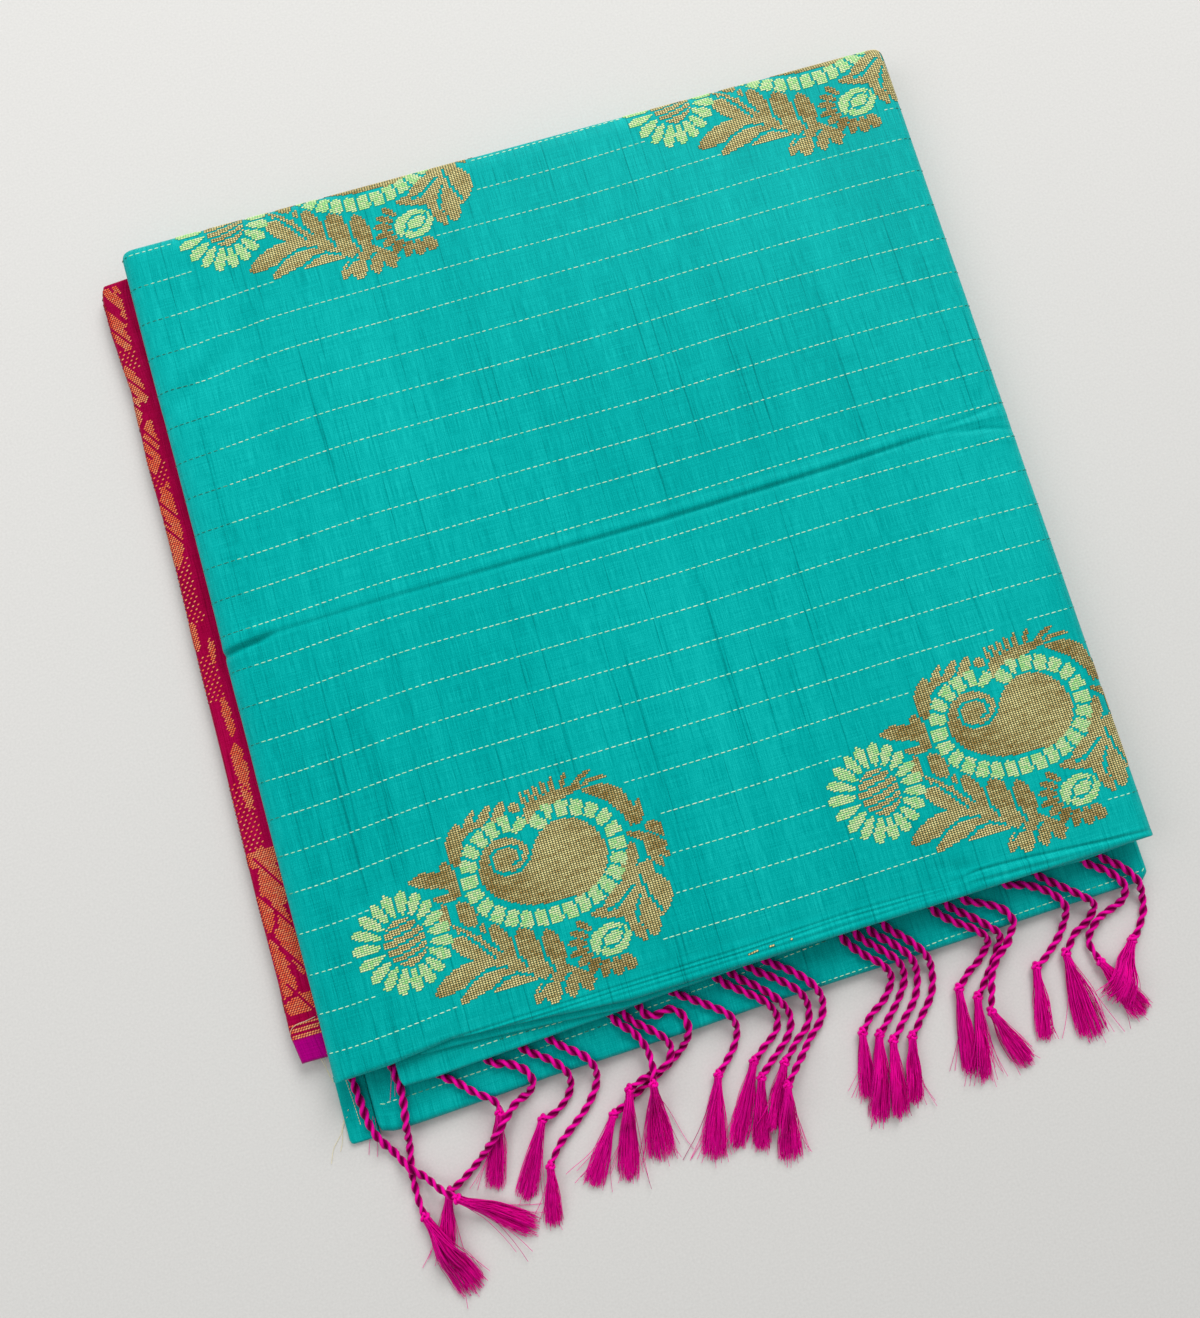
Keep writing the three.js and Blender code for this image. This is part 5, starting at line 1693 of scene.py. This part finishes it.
def camera():
    """Camera above the saree, turned so that the stack lies askew in the frame as in the photo"""
    data = bpy.data.cameras.new("camera")
    data.sensor_width = SENSOR_WIDTH
    data.lens = FOCAL_LENGTH
    data.clip_start = 0.01
    seen = bpy.data.objects.new("camera", data)
    bpy.context.collection.objects.link(seen)
    turn = Matrix((CAMERA_RIGHT, CAMERA_UP, CAMERA_BACK)).transposed().to_4x4()
    seen.matrix_world = Matrix.Translation(CAMERA_PLACE) @ turn
    bpy.context.scene.camera = seen


def area_light(name, place, target, size, power):
    """Rectangular panel of light that faces a target"""
    data = bpy.data.lights.new(name, "AREA")
    data.shape = "RECTANGLE"
    data.size, data.size_y = size
    data.energy = power
    light = bpy.data.objects.new(name, data)
    bpy.context.collection.objects.link(light)
    light.location = place
    light.rotation_euler = (Vector(place) - Vector(target)).to_track_quat("Z", "Y").to_euler()


def studio():
    """Plain pale floor, an even sky and soft panels of light"""
    world = bpy.data.worlds.new("studio")
    world.use_nodes = True
    sky = world.node_tree.nodes["Background"]
    sky.inputs["Color"].default_value = (1, 1, 1, 1)
    sky.inputs["Strength"].default_value = SKY_STRENGTH
    scene = bpy.context.scene
    scene.world = world
    scene.view_settings.view_transform = "Standard"
    area_light("window", (0.85, 1.7, 1.7), (0, 0, 0), (1.5, 1.5), 52)
    area_light("fill", (-0.9, 0.2, 1.0), (0, -0.05, 0), (0.9, 0.9), 4)
    material, nodes, shader = principled("floor", Roughness=0.9, Specular_IOR_Level=0.1)
    place = nodes.add("ShaderNodeTexCoord").outputs["Object"]
    speckle = streak_noise(nodes, place, (900, 900, 900), detail=3.0)
    colour = nodes.mix(speckle, linear("D2D1CE"), linear("E4E3E0"))
    nodes.tree.links.new(colour, shader.inputs["Base Color"])
    corners = [(x * FLOOR_HALF, y * FLOOR_HALF, 0) for x, y in ((-1, -1), (1, -1), (1, 1), (-1, 1))]
    floor = add_mesh("floor", corners, [(0, 1, 2, 3)], material=material)


# Cut of each stretch of cloth, in metres: across the weft, and along the length of the saree

def flap_cut(fold):
    """Flat size of a flap at the front"""
    line = np.asarray(fold["line"], dtype=float)
    xs = np.linspace(line[0, 0], line[-1, 0], 60)
    depth = flap_depth(fold, line_at(line, xs)).mean()
    return float(line[-1, 0] - line[0, 0]) * MM, float(2 * depth) * MM


def side_cut(fold):
    """Flat size of a strip folded at the left"""
    line = np.asarray(sorted((y, x) for x, y in fold["line"]), dtype=float)
    ys = np.linspace(line[0, 0], line[-1, 0], 60)
    radius = fold["thick"] / 2
    depth = radius * math.pi / 2 + fold["inner"] - line_at(line, ys).mean() - radius
    return float(2 * depth) * MM, float(line[-1, 0] - line[0, 0]) * MM


camera()
studio()

cells = brocade_cells()
stitches = [(x, y, 1, 0.8) for x, y in FRONT_STITCHES]
gold = np.concatenate([cells[cells[:, 2] == 1], stitches])
mint = cells[cells[:, 2] == 2]
zari_brocade = dress(lay_floats(
    "zari_brocade", top_surface, gold[:, 0], gold[:, 1], ZARI_GOLD,
    CELL_LENGTH, ROW_PITCH, 0.24, columns=4, tint=gold[:, 3],
))
mint_brocade = dress(lay_floats(
    "mint_brocade", top_surface, mint[:, 0], mint[:, 1], MINT_THREAD,
    CELL_LENGTH * 1.2, ROW_PITCH, 0.22, columns=4,
))
top_lines = dress(top_thread_lines(cells))

top_cloth = dress(top_fold(), "teal_silk", "top_fold")
middle_cloth = dress(front_flap("middle_cloth", MIDDLE_FOLD, TEAL_SILK), "teal_silk", "middle_fold")
second_cloth = dress(front_flap("second_cloth", SECOND_FOLD, TEAL_SILK), "teal_silk", "second_fold")
under_cloth = dress(front_flap("under_cloth", UNDER_FOLD, TEAL_SILK), "teal_silk", "under_fold")
corner_cloth = dress(side_flap("corner_cloth", CORNER_FOLD, TEAL_SILK), "teal_silk", "corner_fold")
pallu_cloth = dress(side_flap("pallu_cloth", PALLU_FOLD, PALLU_SILK), "magenta_zari", "pallu_fold")
hidden_cloth = dress(hidden_layers(TEAL_SILK), "teal_silk", "hidden_folds")
middle_lines = dress(flap_thread_lines("middle_thread_lines", MIDDLE_FOLD, MIDDLE_LINES))
second_lines = dress(flap_thread_lines("second_thread_lines", SECOND_FOLD, SECOND_LINES))
under_lines = dress(flap_thread_lines("under_thread_lines", UNDER_FOLD, UNDER_LINES))

pallu_threads = dress(pallu_zari())
dress(loose_threads("pale_thread_ends", PALE_ENDS, PALE_THREAD))
dress(loose_threads("magenta_thread_ends", MAGENTA_ENDS, TASSEL_THREAD), "magenta_thread")
selvedge = dress(selvedge_dashes())
for label, laid in lay_tassels().items():
    dress(tassel(label, laid), "magenta_thread", f"tassel_{label}")

for piece, fold, below, trim in (
    (middle_cloth, MIDDLE_FOLD, ["second_cloth"], [middle_lines]),
    (second_cloth, SECOND_FOLD, ["under_cloth"], [second_lines]),
    (under_cloth, UNDER_FOLD, ["hidden_layers"], [under_lines]),
):
    flap_cut(fold)
    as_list(below)
    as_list(trim)
side_cut(CORNER_FOLD)
side_cut(PALLU_FOLD)
